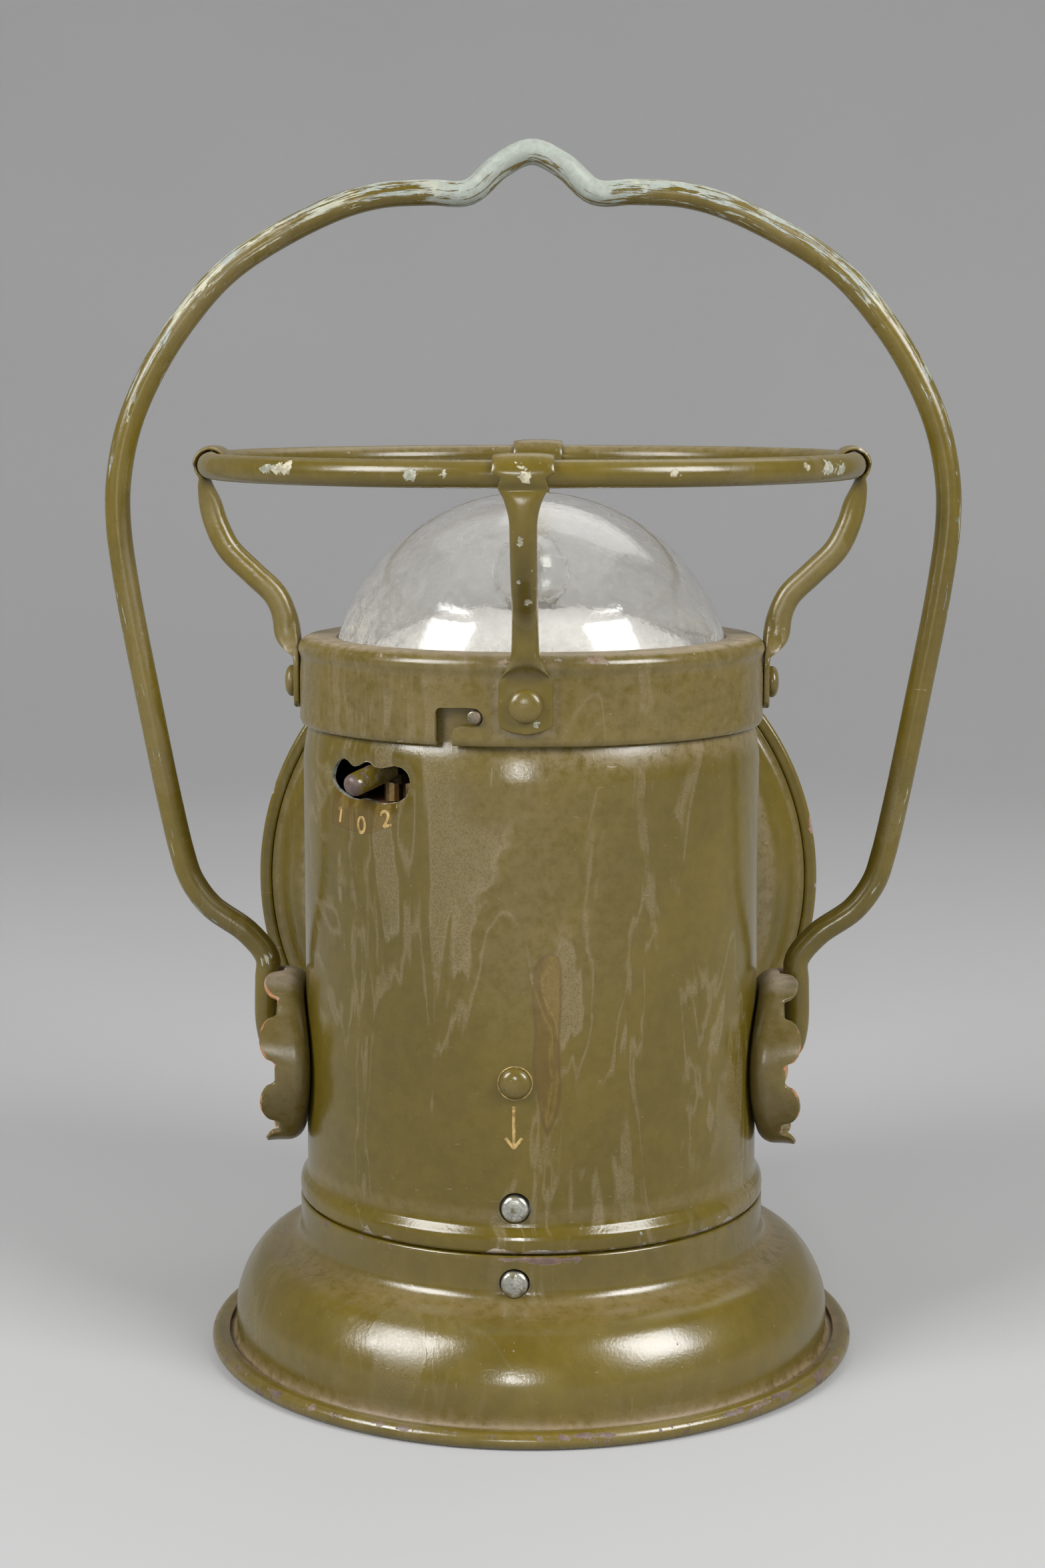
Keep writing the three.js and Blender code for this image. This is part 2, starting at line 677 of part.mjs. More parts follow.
function headBezel() {
  const half = bezelSheet / 2;
  const seat = bowlRim + clearance;
  const [wall, inner] = [headRadius - bezelSheet, headRadius - 2 * bezelSheet];
  const [roll, neck] = [bezelBack + 2 * bezelSheet, bezelBack + 2.5 * bezelSheet];
  return turnedY([
    [seat, roll], [seat, bezelBack], [headRadius - half, bezelBack], [headRadius, bezelBack + half],
    [headRadius, roll], [wall, neck], [wall, bezelFront - bezelSheet], [inner, bezelFront],
    [bezelLip, bezelFront], [bezelLip, bezelFront - bezelSheet], [inner, bezelFront - bezelSheet],
    [inner, neck], [seat, roll],
  ]);
}

const lensBack = dishEdge + 2 * clearance + lensSeat;

function headLens() {
  const edge = bezelFront - bezelSheet - clearance;
  return turnedY([
    [0, lensBack], [bowlRim, lensBack], [bowlRim, edge], [bezelLip - clearance, edge],
    [bezelLip * 0.8, edge + lensRise * 0.45], [bezelLip * 0.4, edge + lensRise * 0.87], [0, edge + lensRise],
  ]);
}

// Materials and the tree of pieces

const paints = {
  olive: { color: 0x4f4a22, roughness: 0.42, metalness: 0.1 },
  primer: { color: 0x59552f, roughness: 0.55, metalness: 0.1 },
  zinc: { color: 0x9a9c93, roughness: 0.4, metalness: 0.9 },
  brass: { color: 0xb08d4a, roughness: 0.35, metalness: 0.9 },
  silver: { color: 0xe9e9e6, roughness: 0.12, metalness: 1 },
  clear: { color: 0xe6ebe8, roughness: 0.08, metalness: 0, transparent: true, opacity: 0.35 },
  rubber: { color: 0x1c1b1a, roughness: 0.85, metalness: 0 },
  board: { color: 0x5b3a22, roughness: 0.7, metalness: 0 },
  battery: { color: 0x3a3d40, roughness: 0.6, metalness: 0 },
};
const materials = Object.fromEntries(
  Object.entries(paints).map(([name, look]) => [name, new THREE.MeshStandardMaterial(look)]));

const lantern = new THREE.Group();

function piece(name, material, geometry, parent = lantern) {
  const mesh = new THREE.Mesh(geometry, materials[material]);
  mesh.name = name;
  parent.add(mesh);
  return mesh;
}

function turnedGroup(angle) {
  const group = new THREE.Group();
  group.rotation.z = angle * degree;
  lantern.add(group);
  return group;
}

// Assembly: the case and what is fixed to it

piece('case_tube', 'olive', caseTube());
pinAngles.forEach((angle, i) => {
  const pin = studOut(pinRadius, caseBore - sheet, capOuter, capOuter + sheet / 2, pinHeight);
  piece(`bayonet_pin_${i + 1}`, 'zinc', closed(pin), turnedGroup(angle));
});
piece('bail_cup_right', 'primer', cupDrum());
piece('bail_cup_left', 'primer', cupDrum().rotateZ(Math.PI));

piece('contact_board', 'board',
  closed(turnedZ(discProfile(caseBore - clearance, boardBottom, boardTop), reflectorSides)));
piece('switch_post', 'brass',
  closed(turnedZ(discProfile(postRadius, boardTop + clearance, postTop), smallSides)));
const armBottom = switchHeight - armThick / 2;
const contact = turnedZ(discProfile(contactRadius, boardTop + clearance, armBottom - clearance), smallSides);
[-1, 0, 1].forEach((step) => {
  const stud = piece(`contact_stud_${step + 2}`, 'brass', closed(contact),
    turnedGroup(switchAngle + switchSwing * step));
  stud.position.setY(contactInset - armReach);
});

// Assembly: the top lamp and the battery

piece('top_reflector', 'silver', closed(topReflector()));
piece('top_socket', 'brass', closed(turnedZ(
  socketProfile(postTop + socketLift, reflectorPeak - socketDrop, socketCollar), lampSides)));
piece('top_bulb_base', 'brass', closed(turnedZ(
  discProfile(bulbBaseRadius, bulbBaseTop - bulbBaseLength, bulbBaseTop), lampSides)));
piece('top_bulb_glass', 'clear', closed(turnedZ(
  bulbProfile(bulbRadius, reflectorPeak + bulbRise, bulbBaseTop + clearance), lampSides)));
piece('case_gasket', 'rubber', closed(turnedZ(ringProfile(
  caseRadius - gasketWidth, caseRadius - clearance, caseTop + clearance, domeBottom - clearance))));
piece('battery', 'battery', closed(batteryBlock()));
const spring = turnedZ([[0, batteryTop + clearance], [terminalFoot, batteryTop + clearance],
  [terminalTip, boardBottom - clearance], [0, boardBottom - clearance]], smallSides);
const terminalOffset = batteryHalf * terminalShare;
piece('battery_terminal_centre', 'zinc', closed(spring));
piece('battery_terminal_corner', 'zinc', closed(spring)).position.set(terminalOffset, terminalOffset, 0);

// Assembly: the headlight

const onBeam = (name, material, geometry) =>
  piece(name, material, geometry).position.setZ(beamHeight);
const saddle = turnedY(
  ringProfile(socketHole, saddleRadius, caseBore - headSocketInset, bowlBack - clearance), cupSides);
const bulbSeatAt = bowlBack + headSocketProud + headBulbSeat;
onBeam('headlight_saddle', 'olive', cut(saddle, caseCore()));
onBeam('headlight_bowl', 'olive', closed(headBowl()));
onBeam('headlight_bezel', 'olive', closed(headBezel()));
onBeam('headlight_reflector', 'silver', closed(headReflector()));
onBeam('headlight_gasket', 'rubber', closed(turnedY(
  ringProfile(bezelLip, bowlRim, dishEdge + clearance, lensBack - clearance))));
onBeam('headlight_lens', 'clear', closed(headLens()));
onBeam('headlight_socket', 'brass', closed(turnedY(
  socketProfile(caseBore - headSocketInset, bowlBack + headSocketProud), lampSides)));
onBeam('headlight_bulb_base', 'brass', closed(turnedY(
  discProfile(bulbBaseRadius, caseBore - headBulbInset, bulbSeatAt), lampSides)));
onBeam('headlight_bulb_glass', 'clear', closed(turnedY(
  bulbProfile(headBulbRadius, bulbSeatAt + headBulbRise, bulbSeatAt + clearance), lampSides)));

// The bezel's clamp is at its lowest point, with a screw across it
const clampHeight = headLift - clearance - clampSize / 2;
const clampDepth = (bezelBack + bezelFront) / 2;
const crossRod = (radius, from, to) =>
  turnedX(discProfile(radius, from, to), smallSides).translate(0, clampDepth, clampHeight);
piece('headlight_clamp', 'olive', cut(
  block(2 * clampSize, bezelDepth - sheet, clampSize, 0, clampDepth, clampHeight),
  crossRod(screwRadius + clearance, -2 * clampSize, 2 * clampSize)));
piece('headlight_screw', 'zinc', join(
  crossRod(screwRadius, -1.5 * clampSize, 1.5 * clampSize),
  crossRod(2 * screwRadius, 1.2 * clampSize, 1.6 * clampSize)));

// Assembly: the cap, its dome and the guard

piece('cap_ring', 'olive', capRing());
piece('dome', 'clear', closed(dome()));
piece('dome_gasket', 'rubber', closed(turnedZ(ringProfile(domeRadius, flangeReach - capSheet,
  domeBottom + flangeThick + clearance, capTop - capSheet - clearance))));
piece('guard_ring', 'olive', closed(guardRing()));
const strapRivetFace = tabFace + tabThick + clearance;
strapAngles.forEach((angle, i) => {
  const group = turnedGroup(angle);
  const rivet = rivetOut(rivetRadius, onCase + clearance / 2, strapRivetFace, strapRivetFace + rivetRise,
    rivetHeight);
  piece(`guard_strap_${i + 1}`, 'olive', strap(), group);
  piece(`strap_rivet_${i + 1}`, 'olive', closed(rivet), group);
});

// Assembly: the bail

piece('bail_handle', 'olive', bailArch());
piece('bail_foot_right', 'olive', bailFoot());
piece('bail_foot_left', 'olive', bailFoot().rotateZ(Math.PI));

// Assembly: the switch

const switchGroup = turnedGroup(switchAngle);
const hub = turnedZ(
  ringProfile(postRadius + clearance, hubRadius, boardTop + 2 * clearance, postTop), cupSides);
const bladeStart = hubRadius - overrun;
const blade = block(armWidth, armReach - bladeStart, armThick, 0, -(armReach + bladeStart) / 2, switchHeight);
const lever = rodOut(leverRadius, armReach + 2 * clearance, caseRadius + leverProud, 0)
  .translate(0, caseRadius, 0)
  .rotateX(leverTilt * degree)
  .translate(0, -caseRadius, switchHeight);
piece('switch_arm', 'brass', join(hub, blade), switchGroup);
piece('switch_lever', 'olive', closed(lever), switchGroup);

// Assembly: the latch, a leaf spring with a button and a catch

const latchGroup = turnedGroup(latchAngle);
const leafBottom = catchHeight - leafWidth / 3;
const leafTop = latchPivot + leafPast;
const leafBack = leafFace - leafThick;
const leaf = block(leafWidth, leafThick, leafTop - leafBottom, 0, -(leafFace + leafBack) / 2,
  (leafTop + leafBottom) / 2);
const leafHole = rodOut(rivetHole, leafBack - overrun, leafFace + overrun, latchPivot);
const latchStud = (height, end) =>
  closed(studOut(buttonRadius, leafFace + clearance, end - crownRise, end, height));
piece('latch_leaf', 'zinc', cut(leaf, leafHole), latchGroup);
piece('latch_button', 'zinc', latchStud(buttonHeight, caseRadius + buttonProud), latchGroup);
piece('latch_catch', 'zinc', latchStud(catchHeight, beadRadius + catchProud), latchGroup);
const tail = rodOut(2 * rivetShank, leafBack - 1.5 * sheet, leafBack - sheet / 2, latchPivot);
const head = rivetOut(latchRivetRadius, leafBack - sheet, onCase, onCase + latchRivetRise, latchPivot);
piece('latch_rivet', 'olive', join(head, tail), latchGroup);

// Assembly: the base

piece('base_bell', 'olive', baseBell());
piece('base_plate', 'olive', closed(basePlate()));
piece('battery_pad', 'rubber', closed(turnedZ(
  discProfile(caseBore - padInset, flangeBottom, batteryBottom - clearance), reflectorSides)));

export default lantern;
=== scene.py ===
# Two-lamp hand lantern: shapes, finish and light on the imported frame.
# Lengths are in millimetres until a mesh is made; angles round the case start at its front (-Y) and grow towards +X.
import bmesh
import bpy
import numpy as np
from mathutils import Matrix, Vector


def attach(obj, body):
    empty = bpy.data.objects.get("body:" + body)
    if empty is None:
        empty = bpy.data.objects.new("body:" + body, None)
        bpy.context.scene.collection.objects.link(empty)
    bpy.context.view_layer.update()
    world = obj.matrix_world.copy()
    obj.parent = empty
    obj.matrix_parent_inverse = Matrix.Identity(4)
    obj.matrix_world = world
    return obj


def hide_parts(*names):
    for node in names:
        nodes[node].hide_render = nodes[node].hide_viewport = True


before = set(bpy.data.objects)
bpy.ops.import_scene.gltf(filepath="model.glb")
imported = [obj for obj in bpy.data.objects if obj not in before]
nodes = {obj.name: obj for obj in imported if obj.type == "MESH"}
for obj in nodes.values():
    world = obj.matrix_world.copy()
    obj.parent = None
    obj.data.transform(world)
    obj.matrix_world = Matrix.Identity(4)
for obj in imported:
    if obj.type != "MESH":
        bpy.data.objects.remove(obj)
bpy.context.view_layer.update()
up = (0, 0, 1)
mm = 0.001
degree = np.pi / 180
caseRadius = 50.0


# The camera stands where the photograph was taken from

cameraLook = {"lens": 59.69, "distance": 0.5678, "azimuth": 1.3, "height": 0.20374, "down": 7.907, "pan": 0.198}
around = cameraLook["azimuth"] * degree
camera = bpy.data.objects.new("camera", bpy.data.cameras.new("camera"))
camera.data.lens = cameraLook["lens"]
camera.data.sensor_width = 36
camera.data.clip_start = 0.01
camera.location = (cameraLook["distance"] * np.sin(around), -cameraLook["distance"] * np.cos(around),
                   cameraLook["height"])
camera.rotation_euler = ((90 - cameraLook["down"]) * degree, 0, around + cameraLook["pan"] * degree)
bpy.context.collection.objects.link(camera)
bpy.context.scene.camera = camera
bpy.context.scene.view_settings.view_transform = "Standard"
print("camera set")


# Lines and grids

def columns(*values):
    return np.stack(values, axis=1)


def wholeTurn(step):
    return np.arange(0, 360, step) * degree


def evenSteps(line, step, dims=2):
    # Walks the line at even arc lengths measured on its first columns; other columns come along
    run = np.concatenate([[0], np.cumsum(np.linalg.norm(np.diff(line[:, :dims], axis=0), axis=1))])
    at = np.linspace(0, run[-1], max(2, int(round(run[-1] / step)) + 1))
    return columns(*[np.interp(at, run, column) for column in line.T])


def smoothLine(points, step, dims=2):
    # Hermite cubics through the points; a slope is the mean of its two chords, each weighted by the other's length
    p = np.array(points, float)
    h = np.sqrt(np.linalg.norm(np.diff(p[:, :dims], axis=0), axis=1))[:, None]
    chord = np.diff(p, axis=0) / h
    slope = np.vstack([chord[:1], (chord[:-1] * h[1:] + chord[1:] * h[:-1]) / (h[:-1] + h[1:]), chord[-1:]])
    s = np.linspace(0, 1, 25)[:-1][None, :, None]
    start, end = p[:-1, None], p[1:, None]
    out, into = (slope[:-1] * h)[:, None], (slope[1:] * h)[:, None]
    line = ((2 * s**3 - 3 * s**2 + 1) * start + (s**3 - 2 * s**2 + s) * out
            + (3 * s**2 - 2 * s**3) * end + (s**3 - s**2) * into)
    return evenSteps(np.vstack([line.reshape(-1, p.shape[1]), p[-1:]]), step, dims)


def filleted(points, radius, steps=5):
    # Each inner corner becomes a quadratic curve between the points one radius before and after it
    p = np.array(points, float)
    s = np.linspace(0, 1, steps)[:, None]
    rows = [p[:1]]
    for a, b, c in zip(p[:-2], p[1:-1], p[2:]):
        toA, toC = np.linalg.norm(a - b), np.linalg.norm(c - b)
        reach = min(radius, toA / 2, toC / 2)
        before, after = b + (a - b) / toA * reach, b + (c - b) / toC * reach
        rows.append((1 - s)**2 * before + 2 * s * (1 - s) * b + s**2 * after)
    return np.vstack(rows + [p[-1:]])


def walled(line, thick, bend=6):
    # Closed outline of a sheet: the line, a half circle round its end, the line one thickness to its left (or to its
    # right where the thickness is negative), a half circle
    along = np.gradient(line, axis=0)
    along /= np.linalg.norm(along, axis=1)[:, None]
    left = columns(-along[:, 1], along[:, 0])
    turn = np.linspace(0, np.pi, bend + 1)[1:-1, None]

    def lip(at, sign):
        middle = line[at] + left[at] * thick / 2
        return middle + abs(thick) / 2 * sign * np.sin(turn) * along[at] - thick / 2 * np.cos(turn) * left[at]

    return np.vstack([line, lip(-1, 1), (line + left * thick)[::-1], lip(0, -1)[::-1]])


def turned(line, turns, origin=(0, 0, 0), axis=(0, 0, 1), zero=(0, -1, 0)):
    # Carries points given as (distance from the axis, distance along it) round the axis, from the zero direction
    axis, zero = np.array(axis, float), np.array(zero, float)
    side = np.cross(axis, zero)
    out = np.cos(turns)[:, None, None] * zero + np.sin(turns)[:, None, None] * side
    return np.array(origin, float) + line[None, :, :1] * out + line[None, :, 1:2] * axis


def swept(path, side, half, power=2.0, sides=24, edge=0.4):
    # A superellipse of half widths half (across, through) along the path, its ends rounded over one edge and closed;
    # its power may change along the path
    along = np.gradient(path, axis=0)
    along /= np.linalg.norm(along, axis=1)[:, None]
    side = side - (side * along).sum(1)[:, None] * along
    side /= np.linalg.norm(side, axis=1)[:, None]
    bend = np.arange(0, 4) * np.pi / 6
    pick = np.concatenate([np.zeros(5, int), np.arange(len(path)), np.full(5, len(path) - 1)])
    flush = np.zeros(len(path))
    inset = np.concatenate([[1e3], edge * (1 - np.cos(bend[::-1])), flush, edge * (1 - np.cos(bend)), [1e3]])
    push = np.concatenate([[-edge], -edge * np.sin(bend[::-1]), flush, edge * np.sin(bend), [edge]])
    wide = np.maximum(half[pick] - inset[:, None], 0)
    centre = path[pick] + along[pick] * push[:, None]
    turn = np.arange(sides) / sides * 2 * np.pi
    share = 2 / np.broadcast_to(power, len(path))[pick][:, None]
    across, up = [(np.sign(f) * np.abs(f)**share)[..., None] for f in (np.cos(turn), np.sin(turn))]
    through = np.cross(along, side)
    return (centre[:, None] + side[pick][:, None] * wide[:, None, :1] * across
            + through[pick][:, None] * wide[:, None, 1:] * up)


def gridFaces(grid, loopRows, loopColumns):
    # Quads between neighbouring points of the grid, going on past its last row or column where it closes
    rows, columns = grid.shape[:2]
    i, j = np.meshgrid(np.arange(rows - (not loopRows)), np.arange(columns - (not loopColumns)), indexing="ij")
    k, l = (i + 1) % rows, (j + 1) % columns
    return np.stack([i * columns + j, k * columns + j, k * columns + l, i * columns + l], -1).reshape(-1, 4)


def joined(shapes):
    # Several (points, faces) pairs as one, each one's faces counted on from the points before it
    starts = np.cumsum([0] + [len(points) for points, faces in shapes])
    return (np.vstack([points for points, faces in shapes]),
            np.vstack([faces + start for start, (points, faces) in zip(starts, shapes)]))


def shell(grid, loopRows=False, loopColumns=True):
    return grid.reshape(-1, 3), gridFaces(grid, loopRows, loopColumns)


def newObject(name, shape):
    points, faces = shape
    mesh = bpy.data.meshes.new(name)
    mesh.vertices.add(len(points))
    mesh.vertices.foreach_set("co", (points * mm).astype(np.float32).ravel())
    mesh.loops.add(faces.size)
    mesh.loops.foreach_set("vertex_index", faces.astype(np.int32).ravel())
    mesh.polygons.add(len(faces))
    mesh.polygons.foreach_set("loop_start", np.arange(0, faces.size, 4, dtype=np.int32))
    mesh.update(calc_edges=True)
    mesh.validate()
    work = bmesh.new()
    work.from_mesh(mesh)
    bmesh.ops.remove_doubles(work, verts=work.verts, dist=2e-6)
    bmesh.ops.dissolve_degenerate(work, dist=1e-7, edges=work.edges)
    if work.calc_volume(signed=True) < 0:
        bmesh.ops.reverse_faces(work, faces=work.faces)
    work.to_mesh(mesh)
    work.free()
    made = bpy.data.objects.new(name, mesh)
    bpy.context.collection.objects.link(made)
    return made


def spun(name, line, turns, hollow=False, *place):
    # A line turned round an axis; a hollow one is a closed outline that stays clear of the axis
    return newObject(name, shell(turned(line, turns, *place), True, hollow))


def carve(piece, cutters):
    # Cuts each closed shape out of the piece and keeps the result as its mesh
    tools = [newObject("cutter", shape) for shape in cutters]
    for tool in tools:
        cut = piece.modifiers.new("cut", "BOOLEAN")
        cut.object = tool
        cut.solver = "EXACT"
    bpy.context.view_layer.update()
    result = bpy.data.meshes.new_from_object(piece.evaluated_get(bpy.context.evaluated_depsgraph_get()))
    piece.modifiers.clear()
    piece.data = result
    result.name = piece.name
    for tool in tools:
        bpy.data.objects.remove(tool)


def dress(piece, body, replaced, material, fields=None, sharp=35):
    # Smooth faces with creases, its fields kept on the points, its material, and its place on a body
    mesh = piece.data
    mesh.shade_smooth()
    mesh.set_sharp_from_angle(angle=sharp * degree)
    mesh.materials.clear()
    mesh.materials.append(material)
    if fields:
        spots = np.empty(len(mesh.vertices) * 3, np.float32)
        mesh.vertices.foreach_get("co", spots)
        for name, values in fields(*(spots.reshape(-1, 3).T / mm)).items():
            layer = mesh.attributes.new(name, "FLOAT", "POINT")
            layer.data.foreach_set("value", np.broadcast_to(values, len(mesh.vertices)).astype(np.float32))
    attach(piece, body)
    if replaced:
        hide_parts(*replaced)
    return piece


def held(value):
    return np.clip(value, 0, 1)


def hump(value, centre, width):
    # A smooth hump of height 1 at the centre
    return np.exp(-((value - centre) / width)**2)


def ease(value, low, high):
    # 0 below low, 1 above high, smooth between
    t = held((value - low) / (high - low))
    return t * t * (3 - 2 * t)


def depthInside(x, y, outline):
    # Signed distance to a closed outline, positive inside: nearest segment, and the count of crossings to the right
    a = np.array(outline, float)
    b = np.roll(a, -1, axis=0)
    p = np.stack([x, y], axis=-1)[..., None, :]
    run = b - a
    t = held(((p - a) * run).sum(-1) / (run**2).sum(-1))
    far = np.linalg.norm(p - a - t[..., None] * run, axis=-1).min(-1)
    crosses = ((a[:, 1] > p[..., 1]) != (b[:, 1] > p[..., 1]))
    rise = np.where(run[:, 1] == 0, 1e-9, run[:, 1])
    hits = crosses & (p[..., 0] < a[:, 0] + (p[..., 1] - a[:, 1]) / rise * run[:, 0])
    return np.where(hits.sum(-1) % 2 == 1, far, -far)


def aroundCase(angle, radius=1.0, height=0.0):
    # The point at an angle round the case, a distance from its axis and a height; by itself the angle gives a direction
    return np.stack([radius * np.sin(angle), -radius * np.cos(angle), height + 0 * angle + 0 * radius], axis=-1)


def onCase(x, y):
    # Angle from the front in degrees, and distance from the axis
    return np.arctan2(x, -y) / degree, np.hypot(x, y)


# Finishes

class Surface:
    # A Principled material with its constant sockets set, and short names for the nodes that feed it

    def __init__(self, name, values):
        self.material = bpy.data.materials.new(name)
        self.material.use_nodes = True
        self.tree = self.material.node_tree
        self.sockets = self.tree.nodes["Principled BSDF"].inputs
        for key, value in values.items():
            self.sockets[key].default_value = value
        self.place = self.put("TexCoord", {}, 3)

    def put(self, kind, inputs, output=0, **settings):
        made = self.tree.nodes.new("ShaderNode" + kind)
        for key, value in settings.items():
            setattr(made, key, value)
        for key, value in inputs.items():
            if isinstance(value, bpy.types.NodeSocket):
                self.tree.links.new(value, made.inputs[key])
            else:
                made.inputs[key].default_value = value
        return made.outputs[output]

    def link(self, values):
        for key, value in values.items():
            self.tree.links.new(value, self.sockets[key])

    def math(self, operation, a, b=0.0):
        return self.put("Math", {0: a, 1: b}, operation=operation, use_clamp=operation != "SUBTRACT")

    def times(self, a, b):
        return self.math("MULTIPLY", a, b)

    def most(self, a, b):
        return self.math("MAXIMUM", a, b)

    def scaled(self, value, factor, more):
        return self.put("Math", {0: value, 1: factor, 2: more}, operation="MULTIPLY_ADD")

    def span(self, value, low, high, toLow=0.0, toHigh=1.0):
        return self.put("MapRange", {0: value, 1: low, 2: high, 3: toLow, 4: toHigh}, interpolation_type="SMOOTHSTEP")

    def mixed(self, share, a, b, kind="MIX"):
        a, b = [(*colour, 1) if isinstance(colour, tuple) else colour for colour in (a, b)]
        return self.put("Mix", {0: share, 6: a, 7: b}, 2, data_type="RGBA", blend_type=kind)

    def cloud(self, scale, detail=2.0, rough=0.5, warp=0.0, at=None):
        place = self.place if at is None else at
        return self.put("TexNoise", {"Vector": place, "Scale": scale, "Detail": detail, "Roughness": rough,
                                     "Distortion": warp})

    def moved(self, scale=(1, 1, 1), turn=(0, 0, 0), by=(0, 0, 0), at=None):
        place = self.place if at is None else at
        return self.put("Mapping", {"Vector": place, "Location": by, "Rotation": turn, "Scale": scale})

    def field(self, name):
        return self.put("Attribute", {}, 2, attribute_name=name)

    def nearValue(self, value, centre, width):
        # 1 where the value is at the centre, falling to 0 one width away
        gap = self.put("Math", {0: self.math("SUBTRACT", value, centre)}, operation="ABSOLUTE")
        return self.span(gap, 0.0, width, 1.0, 0.0)

    def finish(self, colour, rough, height, depth):
        relief = self.put("Bump", {"Height": height, "Distance": depth, "Strength": 1.0})
        self.link({"Base Color": colour, "Roughness": rough, "Normal": relief})
        return self.material


enamelLook = {
    "deep": (0.084, 0.06, 0.003), "warm": (0.112, 0.08, 0.0045),
    "stain": (0.205, 0.165, 0.1), "stainRim": (0.235, 0.19, 0.12), "stainShare": 0.38, "stainEdge": 0.46,
    "scratch": (0.33, 0.29, 0.2), "grit": (0.34, 0.3, 0.22),
    "amber": (0.94, 0.8, 0.3), "amberRim": (0.07, 0.042, 0.006),
    "chip": (0.42, 0.39, 0.3), "chipOther": (0.3, 0.32, 0.29), "chipHalo": (0.075, 0.055, 0.018),
    "chipScale": 170.0, "streak": False, "speckle": 0.8,
    "rust": (0.075, 0.04, 0.028), "rustOther": (0.17, 0.095, 0.06), "rustShare": 0.25,
    "dust": (0.3, 0.235, 0.15), "dustAll": 0.03, "rough": 0.16, "gloss": 0.56,
}


def enamel(name, **changes):
    # Two olive tones by slow noise, dried stains with pale outlines, grit and scratches, then chips, dust and varnish
    # where the piece's own fields allow them; on some pieces the dust field also lays painted pale highlights
    look = {**enamelLook, **changes}
    s = Surface(name, {"Specular IOR Level": look["gloss"]})
    slow = s.cloud(11.0, 4.0, 0.6, 0.6)
    fine = s.cloud(210.0, 3.0, 0.65)
    flecks = s.span(fine, 0.3, 0.7)
    colour = s.mixed(s.span(slow, 0.36, 0.64), look["deep"], look["warm"])
    colour = s.mixed(0.25, colour, s.mixed(flecks, (0.72, 0.72, 0.7), (1.22, 1.2, 1.16)), "MULTIPLY")

    bent = s.moved((1.0, 1.0, 0.27), (0.08, 0.12, 0.0), (0.31, 0.17, 0.05))
    blot = s.cloud(44.0, 4.0, 0.5, 0.9, bent)
    where = s.span(s.cloud(24.0, at=s.moved(by=(0.4, 0.1, 0.2))), 0.34, 0.5)
    spread = s.times(where, s.span(s.cloud(2400.0, 2.0, 0.6), 0.36, 0.56, 0.35, 1.0))
    mottle = s.span(s.cloud(200.0, 5.0, 0.65), 0.18, 0.45)
    patch = s.times(s.times(s.span(blot, 0.575, 0.595), mottle), spread)
    ragged = s.span(s.cloud(110.0, 4.0, 0.6), 0.36, 0.5)
    outline = s.most(s.nearValue(blot, 0.578, 0.02), s.times(s.nearValue(blot, 0.5, 0.019), 0.8))
    outline = s.times(s.times(outline, ragged), spread)
    colour = s.mixed(s.times(patch, look["stainShare"]), colour, look["stain"])
    colour = s.mixed(s.times(outline, look["stainEdge"]), colour, look["stainRim"])

    lean = s.moved((1100.0, 1100.0, 60.0), (0.5, 0.35, 0.0))
    leanOther = s.moved((55.0, 900.0, 1100.0), (0.3, 0.9, 0.6))
    scratch = s.most(s.span(s.cloud(1.0, 1.0, at=lean), 0.765, 0.81),
                     s.span(s.cloud(1.0, 1.0, at=leanOther), 0.755, 0.8))
    colour = s.mixed(s.times(scratch, 0.1), colour, look["scratch"])
    grit = s.span(s.cloud(1150.0, 2.0, 0.6), 0.72, 0.78)
    colour = s.mixed(s.times(grit, 0.3), colour, look["grit"])

    varnish = s.field("varnish")
    coated = s.span(s.math("ADD", varnish, s.times(fine, 0.4)), 0.35, 0.75)
    colour = s.mixed(s.times(coated, 0.95), colour, look["amber"], "MULTIPLY")
    rim = s.times(s.nearValue(varnish, 0.5, 0.3), s.span(fine, 0.3, 0.55))
    colour = s.mixed(s.times(rim, 0.7), colour, look["amberRim"])

    if look["streak"]:
        unrolled = s.put("CombineXYZ", {0: s.field("along"), 1: s.field("round"), 2: s.field("tube")})
        broken = s.cloud(1.0, 7.0, 0.68, 0.4, s.moved((0.085, 0.85, 0.85), at=unrolled))
    else:
        broken = s.cloud(look["chipScale"], 6.0, 0.62, 0.3, s.moved(by=(0.07, 0.2, 0.11)))
    worn = s.scaled(s.field("wear"), 0.42, broken)
    chip = s.span(worn, 0.775, 0.8)
    kind = s.most(s.span(s.cloud(95.0, 3.0), 0.44, 0.56), s.field("grey"))
    bare = s.mixed(kind, look["chip"], look["chipOther"])
    speckle = s.span(s.cloud(620.0, 4.0, 0.7), 0.4, 0.62)
    speckle = s.mixed(speckle, (0.45, 0.44, 0.4), (1.15, 1.15, 1.15))
    bare = s.mixed(look["speckle"], bare, speckle, "MULTIPLY")
    rusty = s.times(s.span(s.cloud(130.0, 4.0, 0.6), 0.5, 0.6), look["rustShare"])
    bare = s.mixed(s.most(rusty, s.field("rust")), bare, s.mixed(flecks, look["rust"], look["rustOther"]))
    colour = s.mixed(s.times(s.span(worn, 0.765, 0.785), 0.4), colour, look["chipHalo"])
    colour = s.mixed(chip, colour, bare)

    powder = s.span(s.cloud(420.0, 5.0, 0.7), 0.2, 0.66)
    # Pale dust colour laid by the piece's field: settled dust, and on the case front and the headlight bowl a painted
    # highlight
    cover = s.times(s.most(s.field("dust"), look["dustAll"]), powder)
    colour = s.mixed(cover, colour, look["dust"])

    rough = s.scaled(s.span(slow, 0.3, 0.7), 0.07, look["rough"])
    for share, more in ((patch, 0.1), (chip, 0.25), (cover, 0.45), (scratch, 0.12)):
        rough = s.scaled(share, more, rough)
    rough = s.math("SUBTRACT", rough, s.times(coated, 0.12))

